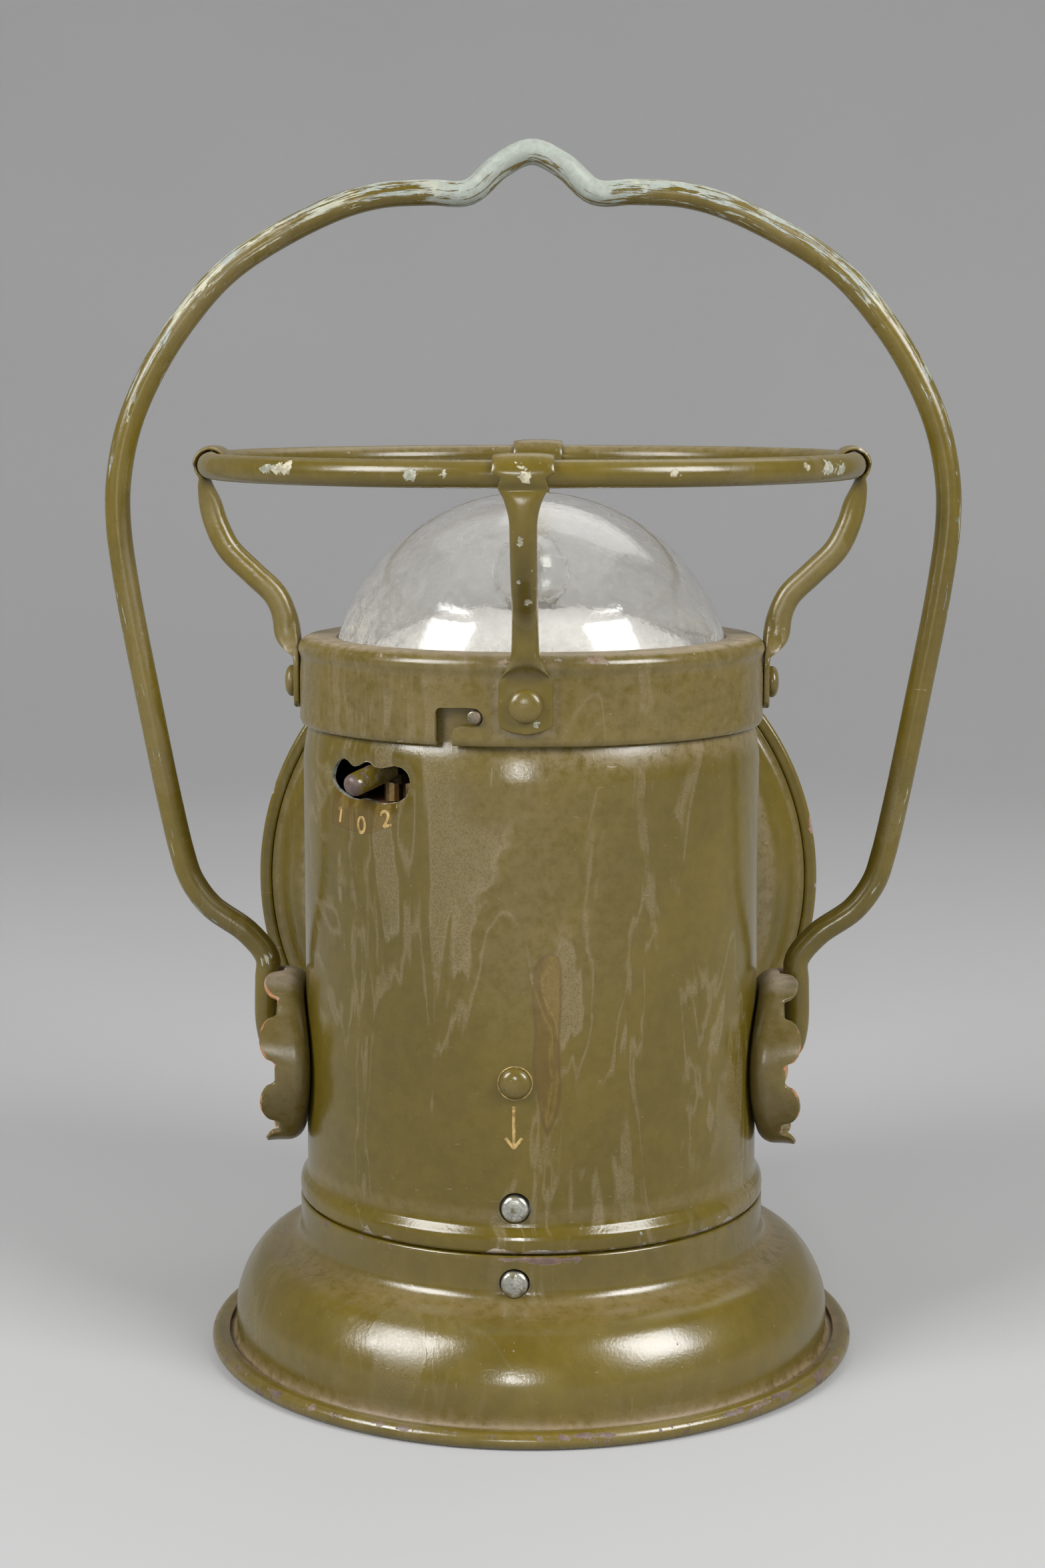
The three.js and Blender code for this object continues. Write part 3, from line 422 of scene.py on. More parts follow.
    height = s.scaled(s.cloud(1500.0, 1.5), 0.24, 0.4)
    for share, more in ((s.cloud(300.0, 3.0), 0.16), (chip, -0.55), (cover, 0.18), (scratch, -0.22), (coated, 0.25),
                        (outline, 0.12)):
        height = s.scaled(share, more, height)
    return s.finish(colour, rough, height, 0.00009)


def metal(name, light, dark, rough=0.3, marks=0.0, grime=(0.1, 0.08, 0.05), grimeShare=0.35, shine=1.0):
    # Bright and dull tones by noise, turned rings from the piece's own distance field, grime in patches by noise
    s = Surface(name, {"Metallic": shine})
    fine = s.cloud(380.0, 5.0, 0.65, 0.4)
    dirt = s.times(s.span(s.cloud(260.0, 6.0, 0.7, 0.6), 0.47, 0.6), grimeShare)
    rings = s.put("Math", {0: s.field("rings")}, operation="FRACT")
    colour = s.mixed(s.span(fine, 0.35, 0.65), light, dark)
    colour = s.mixed(s.times(rings, marks), colour, dark)
    roughness = s.scaled(dirt, 0.4, s.scaled(fine, 0.25, rough - 0.1))
    return s.finish(s.mixed(dirt, colour, grime), roughness, s.scaled(rings, marks, s.cloud(1400.0, 3.0)), 0.00005)


def soft(name, light, dark, rough, scale=300.0, depth=0.0001):
    # Two tones by grainy noise, the same grain as a low relief
    s = Surface(name, {})
    grain = s.cloud(scale, 6.0, 0.65, 0.3)
    return s.finish(s.mixed(s.span(grain, 0.35, 0.65), dark, light), s.scaled(grain, 0.2, rough - 0.1), grain, depth)


def clear(name, tint, rough, haze, scratchShare, milk):
    # Clear plastic or glass: roughness from slow haze, fine scratches both ways, settled dust from its field;
    # the share that is milky, scratched or dusty lets no light straight through
    s = Surface(name, {"IOR": 1.46})
    slow = s.cloud(26.0, 4.0, 0.6, 0.5)
    lean = s.moved((1700.0, 160.0, 400.0), (0.4, 0.7, 0.3))
    leanOther = s.moved((160.0, 1900.0, 500.0), (0.9, 0.2, 0.5))
    scratch = s.most(s.span(s.cloud(1.0, at=lean), 0.66, 0.74), s.span(s.cloud(1.0, at=leanOther), 0.67, 0.75))
    scratch = s.times(scratch, scratchShare)
    cover = s.times(s.field("dust"), s.span(s.cloud(500.0, 5.0, 0.7), 0.3, 0.7))
    roughness = s.scaled(scratch, 0.3, s.scaled(s.span(slow, 0.3, 0.7), haze, rough))
    specks = s.span(s.cloud(900.0, 3.0, 0.6), 0.66, 0.74)
    veil = s.scaled(s.span(slow, 0.25, 0.75, 0.55, 1.0), milk, s.times(cover, 0.7))
    veil = s.scaled(s.most(scratch, specks), milk * 3, veil)
    s.link({"Transmission Weight": s.put("Math", {0: 1.0, 1: veil}, operation="SUBTRACT", use_clamp=True)})
    return s.finish(s.mixed(cover, tint, (0.62, 0.56, 0.46)), s.scaled(cover, 0.5, roughness),
                    s.scaled(scratch, -0.3, s.cloud(700.0)), 0.00003)


caseEnamel = enamel("case enamel")
capEnamel = enamel("cap enamel", stainShare=0.28, stainEdge=0.35, chip=(0.25, 0.17, 0.1), rustShare=0.6)
baseEnamel = enamel("base enamel", stainShare=0.1, stainEdge=0.13, rough=0.175, gloss=0.76,
                    dust=(0.24, 0.17, 0.095), chip=(0.155, 0.1, 0.073), chipOther=(0.085, 0.052, 0.04),
                    rustShare=0.5, chipScale=215.0)
cupEnamel = enamel("cup enamel", stainShare=0.2, stainEdge=0.1, chip=(0.43, 0.28, 0.12),
                   chipOther=(0.4, 0.165, 0.05), rust=(0.24, 0.1, 0.065), rustOther=(0.4, 0.18, 0.09),
                   rustShare=0.3, speckle=0.5, rough=0.24, dust=(0.3, 0.24, 0.18), dustAll=0.12)
guardEnamel = enamel("guard enamel", stainShare=0.15, stainEdge=0.0, chip=(0.46, 0.42, 0.3),
                     chipOther=(0.36, 0.36, 0.28), chipScale=260.0, rustShare=0.05, rough=0.2)
bailEnamel = enamel("bail enamel", stainShare=0.15, stainEdge=0.0, chip=(0.38, 0.37, 0.265),
                    chipOther=(0.27, 0.3, 0.265), rustShare=0.03, rough=0.2, speckle=0.25, streak=True)
leverEnamel = enamel("lever enamel", chip=(0.115, 0.09, 0.078), chipOther=(0.085, 0.06, 0.055),
                     rustOther=(0.12, 0.075, 0.058), rustShare=0.3, chipScale=260.0)
headEnamel = enamel("headlight enamel", stainShare=0.2, stainEdge=0.15, chip=(0.33, 0.15, 0.1), rustShare=0.5,
                    rust=(0.22, 0.07, 0.05), rustOther=(0.36, 0.13, 0.09))
zinc = metal("turned zinc", (0.66, 0.66, 0.6), (0.34, 0.34, 0.29), 0.27, 0.55, (0.1, 0.082, 0.03), 0.75)
brass = metal("aged brass", (0.62, 0.44, 0.19), (0.36, 0.24, 0.1), 0.32)
silver = metal("silvered reflector", (0.97, 0.97, 0.96), (0.94, 0.94, 0.93), 0.42, 0.0, (0.8, 0.78, 0.74),
               0.08, 0.35)
mirror = metal("polished reflector", (0.93, 0.93, 0.92), (0.86, 0.86, 0.85), 0.16, 0.0, (0.5, 0.47, 0.42),
               0.08)
grimyBrass = metal("grimed brass", (0.1, 0.078, 0.038), (0.045, 0.037, 0.018), 0.55, 0.0,
                   (0.04, 0.033, 0.018), 0.85)
pinSteel = metal("worn pin steel", (0.28, 0.26, 0.19), (0.14, 0.115, 0.08), 0.34, 0.0, (0.14, 0.075, 0.055),
                 0.5)
tungsten = metal("filament", (0.3, 0.29, 0.28), (0.14, 0.14, 0.14), 0.45)
domeClear = clear("scratched dome plastic", (0.98, 0.97, 0.94), 0.03, 0.04, 0.5, 0.06)
bulbGlass = clear("bulb glass", (0.93, 0.94, 0.94), 0.01, 0.01, 0.1, 0.05)
lensClear = clear("lens glass", (0.97, 0.98, 0.97), 0.02, 0.015, 0.25, 0.02)
rubber = soft("black rubber", (0.06, 0.056, 0.05), (0.024, 0.023, 0.021), 0.72)
boardBrown = soft("brown board", (0.24, 0.12, 0.055), (0.13, 0.062, 0.03), 0.55, 160.0)
batteryCard = soft("battery card", (0.3, 0.31, 0.3), (0.17, 0.18, 0.18), 0.6, 140.0)
signPaint = soft("gold sign paint", (0.46, 0.32, 0.11), (0.17, 0.105, 0.03), 0.42, 620.0, 0.00008)
print("finishes made")


# The case: a tube with a rolled shoulder at its foot, the pressed slot of the switch and two holes for the latch

caseLook = {"wall": 1.2, "bottom": 24.5, "top": 149.4, "slotInset": 0.5, "slotFall": 1.1, "hole": 3.3,
            "catchHole": 3.05, "neckFrom": 131.2, "neckLong": 8.6, "neckSlope": 0.15, "neckEase": 1.1, "neckCurl": 0.62}
latchAngle = -2.5 * degree
slotPoints = [
    (-57.6, 130.3), (-57, 132), (-55.4, 133.6), (-53.1, 134.5), (-50.8, 134.1), (-49.1, 133.2), (-47.2, 133.2),
    (-45.6, 134), (-43.9, 134.5), (-42.4, 134.3), (-41.1, 133.6), (-38.9, 133.4), (-36.7, 133.8), (-34.7, 134.2),
    (-32.7, 134), (-31, 133.2), (-30.1, 131.9), (-30, 130.7), (-30.3, 129.5), (-31.2, 128), (-33, 127), (-36.5, 126.3),
    (-39.6, 126.1), (-41.8, 126.6), (-44.1, 126.8), (-46.6, 126.3), (-49.2, 126.4), (-52.4, 127.1), (-55.5, 128),
    (-57.3, 129.1)
]
signPatch = [
    (-57.6, 119.9), (-50, 119.2), (-41.6, 119.3), (-36, 121.2), (-32.8, 124.3), (-33.5, 127), (-45, 127), (-56, 128.5)
]
rightPatch = [
    (-0.2, 94), (1.7, 97), (4.7, 97.8), (7, 96.9), (7.8, 93.9), (7.8, 85.2), (7.4, 80.5), (7.4, 75.1), (7.8, 70.3),
    (7.5, 65.6), (5.6, 60.5), (4, 56.1), (1.8, 61.9), (-0.5, 73.8), (0.2, 80.6), (-0.5, 88)
]


def fromCamera(points):
    # Angles seen from the camera become arc lengths on the case
    p = np.array(points, float)
    return columns((p[:, 0] + cameraLook["azimuth"]) * degree * caseRadius, p[:, 1])


def necked(height):
    # The case draws in under the cap: a straight taper that eases in, and a curl at its end
    up = np.clip(height - caseLook["neckFrom"], 0, caseLook["neckLong"])
    taper = caseLook["neckSlope"] * (up - caseLook["neckEase"] * (1 - np.exp(-up / caseLook["neckEase"])))
    return taper + caseLook["neckCurl"] * (up / caseLook["neckLong"])**5


slotOutline = fromCamera(slotPoints)
beadLine = np.array([
    (34.2, 0), (34.25, 1.2), (34.9, 1.6), (36, 1.65), (37.1, 1.62), (38, 1.35), (38.8, 0.75), (39.5, 0.25),
    (40.4, 0.03), (41.5, 0)
])
caseAngles = [np.arange(-66, -22, 0.55), np.arange(-22, 12, 1.0), np.arange(12, 294, 2.0)]
caseAngles = np.unique(np.concatenate(caseAngles)) * degree
caseHeights = np.concatenate([np.arange(24.9, 33.9, 1.5), np.arange(34.0, 41.4, 0.22), np.arange(41.6, 124, 1.1),
                              np.arange(124, 137, 0.45), np.arange(137, 149.2, 1.2)])
wide, tall = np.meshgrid(caseAngles, caseHeights, indexing="ij")
reach = caseRadius + np.interp(tall, beadLine[:, 0], beadLine[:, 1])
rimDepth = depthInside(wide * caseRadius, tall, slotOutline)
reach -= caseLook["slotInset"] * np.exp(-(np.minimum(rimDepth, 0) / caseLook["slotFall"])**2)
reach -= necked(tall)
reach += 0.07 * np.sin(3 * wide + 0.9) * hump(tall, 92, 30) + 0.05 * np.sin(7 * wide + tall / 9) * hump(tall, 84, 34)
reach -= 0.16 * np.exp(-((wide / degree + 24) / 4)**2 - ((tall - 112) / 5)**2)
innerHeights = np.array([149.1, 140, 138.5, 137, 135.5, 134, 130, 126, 120, 90, 60, 42, 30, 24.8])
innerReach = caseRadius - caseLook["wall"] - necked(innerHeights)
inner = aroundCase(caseAngles[:, None], innerReach[None], innerHeights[None])
lips = [aroundCase(caseAngles[:, None], np.array([[outside, outside + 0.4 - caseLook["wall"]]]), height)
        for outside, height in ((48.2, caseLook["top"]), (49.8, caseLook["bottom"]))]
tube = np.concatenate([aroundCase(wide, reach, tall), lips[0], inner, lips[1][:, ::-1]], axis=1)


def prism(outline, near, far, step=0.8):
    # A closed outline of (arc length, height) carried from one distance from the axis to another
    ring = evenSteps(np.vstack([outline, outline[:1]]), step)[:-1]
    radii = np.linspace(near, far, 3)
    sides = np.stack([aroundCase(ring[:, 0] / caseRadius, radius, ring[:, 1]) for radius in radii])
    middle, height = ring.mean(0)
    caps = [np.broadcast_to(aroundCase(middle / caseRadius, radius, height), sides[:1].shape) for radius in (near, far)]
    return shell(np.concatenate([caps[0], sides, caps[1]]))


def latchHole(height, radius, near, far):
    turn = wholeTurn(10)
    outline = columns(latchAngle * caseRadius + radius * np.cos(turn), height + radius * np.sin(turn))
    return prism(outline, near, far, 0.5)


buttonHeight, catchHeight, rivetHeight = 43.6, 28.1, 70.0
caseTube = newObject("case_skin", shell(tube, True, True))
carve(caseTube, [prism(slotOutline, 46.0, 54.0), latchHole(buttonHeight, caseLook["hole"], 45.0, 55.0),
                 latchHole(catchHeight, caseLook["hole"], 45.0, 55.0)])


def caseFields(x, y, z):
    angle, far = onCase(x, y)
    arc = angle * degree * caseRadius
    patches = [depthInside(arc, z, fromCamera(points)) * share for points, share in ((signPatch, 1), (rightPatch, 0.6))]
    # The second term lays pale dust colour over the middle of the case front above a height of 60: a painted soft
    # highlight
    dust = 0.16 * hump(z, 42.0, 1.6) + 0.15 * hump(angle, 2, 24) * ease(z, 60, 100)
    dust += 0.35 * hump(z, 137.5, 3.0) * ease(angle, -20, 30)
    wear = (0.5 + 0.45 * hump(angle, -1, 8)) * hump(z, 34.6, 0.7) + 0.28 * hump(z, 36.8, 2.0)
    wear += 0.16 * hump(z, 139, 1.5) + 0.95 * hump(depthInside(arc, z, slotOutline), 0.02, 0.12) * (far < 49.9)
    rust = 0.8 * hump(z, 34.4, 1.0)
    return {"varnish": np.max(patches, axis=0), "dust": dust, "wear": held(wear), "rust": rust}


dress(caseTube, "case", ["case_tube"], caseEnamel, caseFields)
print("case made")


# The base: a pressed bell on a plate whose edge is curled over it

bellLine = [
    (51.65, 33.4), (51.65, 27.6), (51.8, 26.2), (52.4, 24.9), (53.5, 24.0), (55.1, 23.3), (57.0, 22.7), (58.9, 21.9),
    (60.8, 20.6), (62.4, 18.8), (63.8, 16.7), (65.1, 13.9), (66, 11), (66.3, 8), (66.4, 3.4), (66.85, 2.35),
    (68.3, 2.05), (70.0, 2.05)
]
baseTurns = wholeTurn(2)
bell = turned(walled(smoothLine(bellLine, 0.8), -1.0), baseTurns)
dent = 0.0009 * np.sin(2 * np.arctan2(bell[..., 0], -bell[..., 1]) + 0.7)
bell[..., :2] *= (1 + dent * ease(bell[..., 2], 5, 20) * (1 - ease(bell[..., 2], 24, 30)))[..., None]
baseBell = newObject("bell_skin", shell(bell, True, True))
carve(baseBell, [latchHole(catchHeight + 0.1, caseLook["catchHole"], 49.0, 58.0)])


def bellFields(x, y, z):
    angle, far = onCase(x, y)
    cove = hump(z, 23.6, 1.7) * 0.34 + hump(z, 1.6, 2.6)
    front = hump(angle, 3, 9)
    worn = (0.46 + 0.5 * front) * hump(z, 33.1, 0.7) + 0.32 * hump(z, 17.5, 2.5) * hump(angle, 38, 9) + 0.12
    return {"dust": held(cove), "wear": held(worn), "rust": 0.5 * hump(z, 33.3, 1)}


dress(baseBell, "base", ["base_bell"], baseEnamel, bellFields)

plateLook = {"reach": 71.8, "curl": 1.75, "sheet": 1.0, "seam": 69.6}
curl = np.linspace(-90, 90, 17) * degree
curlAt = plateLook["reach"] - plateLook["curl"]


def curlLine(radius):
    return columns(curlAt + radius * np.cos(curl), plateLook["curl"] + radius * np.sin(curl))


plateLine = np.vstack([evenSteps(np.array([(0.0, 0.0), (plateLook["seam"], 0.0)]), 4.0), curlLine(plateLook["curl"]),
                       [(69.2, 3.46), (68.5, 3.36), (68.0, 3.2), (67.9, 2.95), (68.05, 2.6), (68.6, 2.45)],
                       curlLine(plateLook["curl"] - plateLook["sheet"])[::-1],
                       evenSteps(np.array([(69.0, 1.0), (0.0, 1.0)]), 4.0)])
basePlate = spun("plate_skin", plateLine, baseTurns)
dress(basePlate, "base", ["base_plate"], baseEnamel, lambda x, y, z: {
    "wear": np.clip(0.58 * hump(np.hypot(x, y), 71.3, 1.0) * ease(z, 0.3, 1.2), 0, 0.6),
    "dust": 0.75 * hump(np.hypot(x, y), 68.0, 0.7) + 0.08, "rust": 0.2})
print("base made")


# The cap: a ring with three bayonet slots, over the pins of the case

capLine = [
    (50.35, 139.5), (50.62, 140.2), (50.6, 142), (50.55, 150), (50.4, 152.4), (50.3, 153.2), (50.45, 154.0),
    (50.8, 154.8), (50.9, 155.5), (50.7, 156.3), (50.2, 157.0), (49.5, 157.55), (48.6, 157.9), (47.6, 158),
    (46, 157.9), (42.8, 157.8)
]
pinTurns = -11.7 + np.array([0, 120, 240])
channel = np.array([
    (-9.7, 138.0), (-9.7, 146.1), (-8.9, 146.9), (-1.5, 147.1), (0.5, 146.9), (1.7, 145.9), (1.9, 144.7), (1.2, 143.5),
    (-0.2, 143.2), (-3.4, 143.4), (-4.9, 142.9), (-5.5, 141.8), (-5.5, 138.0)
])
capAngles = [np.arange(0, 360, 2.0)] + [np.arange(-26, -6, 0.7) + turn for turn in (360, 120, 240)]
capAngles = np.unique(np.concatenate(capAngles) % 360) * degree
capRing = spun("cap_skin", walled(smoothLine(capLine, 0.75), 0.9), capAngles, True)
carve(capRing, [prism(filleted((channel + (turn, 0)) * (degree * caseRadius, 1), 0.5), 48.6, 54.0, 0.5)
                for turn in pinTurns])


def capFields(x, y, z):
    angle, far = onCase(x, y)
    top = ease(z, 157.2, 157.8)
    beside = np.abs((angle + 45) % 90 - 45) * degree * far - 5.4
    tab = 0.22 * hump(np.maximum(beside, 142.6 - z), 0.4, 0.8) * (1 - top)
    return {"dust": held(0.75 * top * (1 - 0.4 * hump(far, 50, 1)) + tab + 0.17),
            "wear": held(0.42 * hump(z, 139.6, 0.8) + 0.36 * hump(z, 156.6, 1.0) + 0.05), "rust": 0.5 * top}


dress(capRing, "cap", ["cap_ring"], capEnamel, capFields)

pinLine = filleted([(0, 51.85), (1.45, 51.75), (1.5, 48.0), (0, 48.0)], 0.4)
for number, turn in enumerate(pinTurns):
    way = aroundCase(turn * degree)
    pin = spun(f"bayonet_stud_{number + 1}", pinLine, wholeTurn(15), False, (0, 0, 145.2), way, up)
    dress(pin, "case", [f"bayonet_pin_{number + 1}"], pinSteel)
print("cap made")


# The dome and the lamp under it

domeLook = {"centre": 145, "outside": 44, "inside": 42}
fineTurns = wholeTurn(2.5)


def domeArc(radius, start, end, steps):
    turn = np.linspace(start, end, steps)
    return columns(radius * np.cos(turn), domeLook["centre"] + radius * np.sin(turn))


domeLine = np.vstack([domeArc(domeLook["outside"], np.pi / 2, np.arcsin(10.6 / domeLook["outside"]), 70),
                      filleted([(42.9, 155.0), (43.2, 154.3), (49.0, 154.3), (49.0, 152.3), (41.6, 152.3)], 0.4),
                      domeArc(domeLook["inside"], np.arcsin(7.5 / domeLook["inside"]), np.pi / 2, 60)])
domeShell = spun("dome_shell", domeLine, fineTurns)


def domeFields(x, y, z):
    angle, far = onCase(x, y)
    return {"dust": held(0.3 * hump(z, 156, 4) + 0.4 * hump(angle, -80, 32) * hump(z, 160, 14) + 0.08)}


dress(domeShell, "cap", ["dome"], domeClear, domeFields)

topDish = smoothLine([(8.4, 163.9), (14, 163.4), (20, 162.3), (33.3, 156.3), (40, 149.9), (48.45, 148.9)], 0.8)
dress(spun("top_dish", walled(topDish, -0.6), fineTurns, True), "case", ["top_reflector"], silver)


def bulb(prefix, replaced, middle, axis, zero, radius, back):
    # Glass: a sphere drawn in to a neck; inside it a glass stem, two support wires and a coiled filament between them
    neck, wall = radius * 0.55, 0.7
    turn = np.linspace(0, np.pi - np.arcsin(neck / radius), 40)
    ball = columns(radius * np.sin(turn), radius * np.cos(turn))
    outside = np.vstack([ball, smoothLine([ball[-1], (neck, (ball[-1][1] + back) / 2), (neck, back)], 0.5)[1:]])
    glassLine = np.vstack([outside, [(neck - wall, back)], (ball * (radius - wall) / radius)[::-1]])
    glass = spun(prefix + "_glass", glassLine, wholeTurn(7.5), False, middle, axis, zero)
    dress(glass, "case", replaced, bulbGlass)
    stem = [(0, -radius * 0.3), (1.1, -radius * 0.32), (1.5, back + 0.8), (2.6, back + 0.1), (0, back + 0.05)]
    stem = spun(prefix + "_stem", filleted(stem, 0.5), wholeTurn(20), False, middle, axis, zero)
    dress(stem, "case", [], bulbGlass)
    middle, axis, zero = [np.array(values, float) for values in (middle, axis, zero)]
    side = np.cross(axis, zero)
    spots = ((0.6, -radius * 0.5), (1.6, -0.5), (2.3, 1.5))
    wires = [smoothLine([middle + side * sign * across + axis * along for across, along in spots], 0.4, 3)
             for sign in (-1, 1)]
    shapes = [shell(swept(wire, np.tile(zero, (len(wire), 1)), np.full((len(wire), 2), 0.16), sides=8, edge=0.05))
              for wire in wires]
    turns = np.linspace(-1, 1, 260)[:, None]
    coil = (middle + axis * 1.5 + side * turns * 2.3 + 0.28 * (np.cos(turns * 40) * zero + np.sin(turns * 40) * axis)
            + axis * 0.7 * (1 - turns**2))
    shapes.append(shell(swept(coil, np.tile(side, (len(coil), 1)), np.full((len(coil), 2), 0.07), sides=5, edge=0.03)))
    dress(newObject(prefix + "_filament", joined(shapes)), "case", [], tungsten)


bulb("top_lamp", ["top_bulb_glass"], (0, 0, 171.3), up, (0, -1, 0), 8.5, -9.4)
topBase = spun("top_lamp_shell", filleted([(0, 161.7), (4.75, 161.7), (4.75, 146.0), (0, 146.0)], 0.5), fineTurns)
dress(topBase, "case", ["top_bulb_base"], brass)
topCollar = filleted([
    (5.3, 163.0), (8.2, 163.0), (8.2, 161.0), (6.2, 161.0), (6.2, 136.2), (7.0, 135.3), (5.3, 135.3)
], 0.4)
dress(spun("top_lamp_socket", topCollar, fineTurns, True), "case", ["top_socket"], brass)
print("dome and top lamp made")


# The guard: a round ring held by four straps that wrap over it

guardLook = {"radius": 69.2, "rod": 2.75, "height": 194.9, "lean": 0.012, "wrap": 3.44, "wrapStart": -51,
             "wrapEnd": 215}


def leaned(points):
    # The guard's upper part is bent down a little at the front and up at the back
    points = points.copy()
    points[..., 2] += guardLook["lean"] * points[..., 1] * ease(points[..., 2], 172, 190)
    return points


def guardSection(radius, turn):
    return columns(guardLook["radius"] + radius * np.cos(turn), guardLook["height"] + radius * np.sin(turn))


torus = turned(guardSection(guardLook["rod"], wholeTurn(15)), wholeTurn(1.5))
guardRing = newObject("guard_rod", shell(leaned(torus), True, True))
# Angle round the ring, width, strength
ringChips = [
    (-44.7, 3.6, 0.86), (-40.2, 1.1, 0.66), (-18.3, 2.1, 0.78), (-12.3, 0.8, 0.7), (24, 2, 0.7), (51.3, 1.5, 0.82),
    (60.8, 4.8, 1.1), (150, 5, 0.7), (-120, 4, 0.7)
]


def ringFields(x, y, z):
    angle, far = onCase(x, y)
    facing = ease(far, 69.4, 71.4) * hump(z - guardLook["lean"] * y, guardLook["height"] + 0.2, 1.9)
    spots = sum(size * hump(angle, at, width) for at, width, size in ringChips)
    return {"wear": held(0.1 + spots * facing + 0.12 * ease(z, 195, 197.5)), "dust": 0.3 * ease(z, 196, 197.6)}


dress(guardRing, "cap", ["guard_ring"], guardEnamel, ringFields)

# Each point of a strap: distance from the axis, height, half width, half thickness
strapPoints = [
    (51.35, 142.2, 5.3, 0.72), (51.35, 144, 5.45, 0.72), (51.35, 150, 5.45, 0.72), (51.35, 152.2, 5.4, 0.72),
    (51.42, 153.3, 5.05, 0.8), (51.6, 154.3, 4.35, 1.0), (51.95, 155.4, 3.7, 1.4), (52.5, 157, 3.15, 2.0),
    (53.1, 159, 2.85, 2.4), (53.9, 161.7, 2.75, 2.6), (56.1, 166.5, 2.65, 2.65), (60.95, 171.3, 2.65, 2.65),
    (66.1, 176.5, 2.65, 2.65), (68.7, 181.7, 2.65, 2.6), (70.07, 186.5, 2.8, 2.4), (71.0, 190, 3.7, 1.6)
]
wrap = np.arange(guardLook["wrapStart"], guardLook["wrapEnd"] + 1, 14) * degree
hookWidth = 5.9 - 1.5 * np.cos(wrap * 0.8)**2 * (wrap < 0)
hook = np.hstack([guardSection(guardLook["wrap"], wrap), columns(hookWidth, np.full(len(wrap), 0.62))])
hook[0, 2:] = (4.8, 0.9)
strapLine = smoothLine(np.vstack([strapPoints, hook]), 0.5)
middleLine = columns(0 * strapLine[:, 0], -strapLine[:, 0], strapLine[:, 1])
strapPower = 6.0 - 3.4 * ease(strapLine[:, 1], 150, 160)
strapGrid = swept(middleLine, np.tile((1.0, 0, 0), (len(middleLine), 1)), strapLine[:, 2:], strapPower, 40, 0.35)
foot = 1 - ease(strapGrid[..., 2], 142, 147)
strapGrid[..., 2] += 1.75 * (strapGrid[..., 0] / 5.4)**2 * foot * (strapGrid[..., 1] > -54)
# The tab is bent round the cap, and the strap steps out above an arched crease
strapGrid[..., 1] += strapGrid[..., 0]**2 / 101 * (1 - ease(strapGrid[..., 2], 152, 156))
ledge = 153.3 + 1.9 * (1 - np.clip(strapGrid[..., 0] / 4.6, -1, 1)**2)
step = ease(strapGrid[..., 2] - ledge, 0, 0.9) * (1 - ease(strapGrid[..., 2], 156.5, 163))
strapGrid[..., 1] -= 1.25 * step * (strapGrid[..., 1] < -51.7)
rivetBend = np.linspace(0.1, 1.5, 14)
rivetLine = np.vstack([[(0, 54.1)], columns(3.45 * np.sin(rivetBend)**0.85, 52.5 + 1.6 * np.cos(rivetBend)**0.8),
                       [(3.4, 52.2), (3.1, 51.7), (2.0, 51.6), (2.0, 49.0), (0, 49.0)]])
# Across, its width, height, its width, strength
strapChips = [
    (-0.4, 1.0, 181, 1.3, 0.75), (-0.9, 0.6, 173.3, 0.9, 0.7), (0.4, 1.2, 169, 1.2, 0.8), (-0.2, 1.8, 193.5, 2.4, 0.6)
]


def strapFields(x, y, z):
    far = np.hypot(x, y)
    front = (y < -45) * (np.abs(x) < 4)
    spots = sum(size * hump(x, across, wide) * hump(z, high, tall) for across, wide, high, tall, size in strapChips)
    wear = 0.16 + 0.3 * hump(z, 198, 2.2) + spots * front + 0.25 * hump(z, 143, 2)
    return {"wear": held(wear + 0.16 * hump(z, 176, 8) * ease(far, 60, 70)),
            "dust": held(0.25 * ease(z, 196, 199) + 0.3 * hump(z, 155, 2))}


for number in range(4):
    turn = number * np.pi / 2
    spin = np.array([[np.cos(turn), -np.sin(turn), 0], [np.sin(turn), np.cos(turn), 0], [0, 0, 1]])
    strap = newObject(f"strap_{number + 1}", shell(leaned(strapGrid @ spin.T)))
    dress(strap, "cap", [f"guard_strap_{number + 1}"], guardEnamel, strapFields)
    head = spun(f"strap_head_{number + 1}", rivetLine, wholeTurn(10), False, (0, 0, 147.7), aroundCase(turn), up)
    dress(head, "cap", [f"strap_rivet_{number + 1}"], guardEnamel, lambda x, y, z: {"wear": 0.2, "dust": 0.1})
print("guard made")


# The bail: one bent wire, its feet sprung through the notches of the two cups

bailLook = {"radius": 2.75, "halfWidth": 90.36, "foot": 58.9, "pivot": 64.0, "rise": 197.04}
# Shares of the way out from the foot, and of the half width; both with shares of the rise
legShares = [
    (0.003, 0.085), (0, 0.11), (0.14, 0.139), (0.397, 0.169), (0.534, 0.2), (0.594, 0.23), (0.677, 0.291),
    (0.817, 0.411), (0.946, 0.529), (0.997, 0.6)
]
archShares = [
    (0.996, 0.647), (0.969, 0.705), (0.913, 0.763), (0.832, 0.82), (0.716, 0.877), (0.5, 0.934), (0.371, 0.953),
    (0.24, 0.957), (0.15, 0.957), (0.075, 0.985), (0, 1)
]
legs = (bailLook["foot"], 0) + np.array(legShares) * (bailLook["halfWidth"] - bailLook["foot"], bailLook["rise"])
arch = np.array(archShares) * (bailLook["halfWidth"], bailLook["rise"])
half = np.vstack([[(44.8, 0), (46.0, 0), (52.74, 0), (57.36, 1.54), (bailLook["foot"], 6.16)], legs, arch])
wire = smoothLine(np.vstack([half, half[-2::-1] * (-1, 1)]) + (0, bailLook["pivot"]), 1.2)
thick = bailLook["radius"] + 1.45 * (1 - ease(np.abs(wire[:, 0]), 45.6, 46.4)) * (wire[:, 1] < 65)
bailPath = columns(wire[:, 0], 0 * wire[:, 0], wire[:, 1])
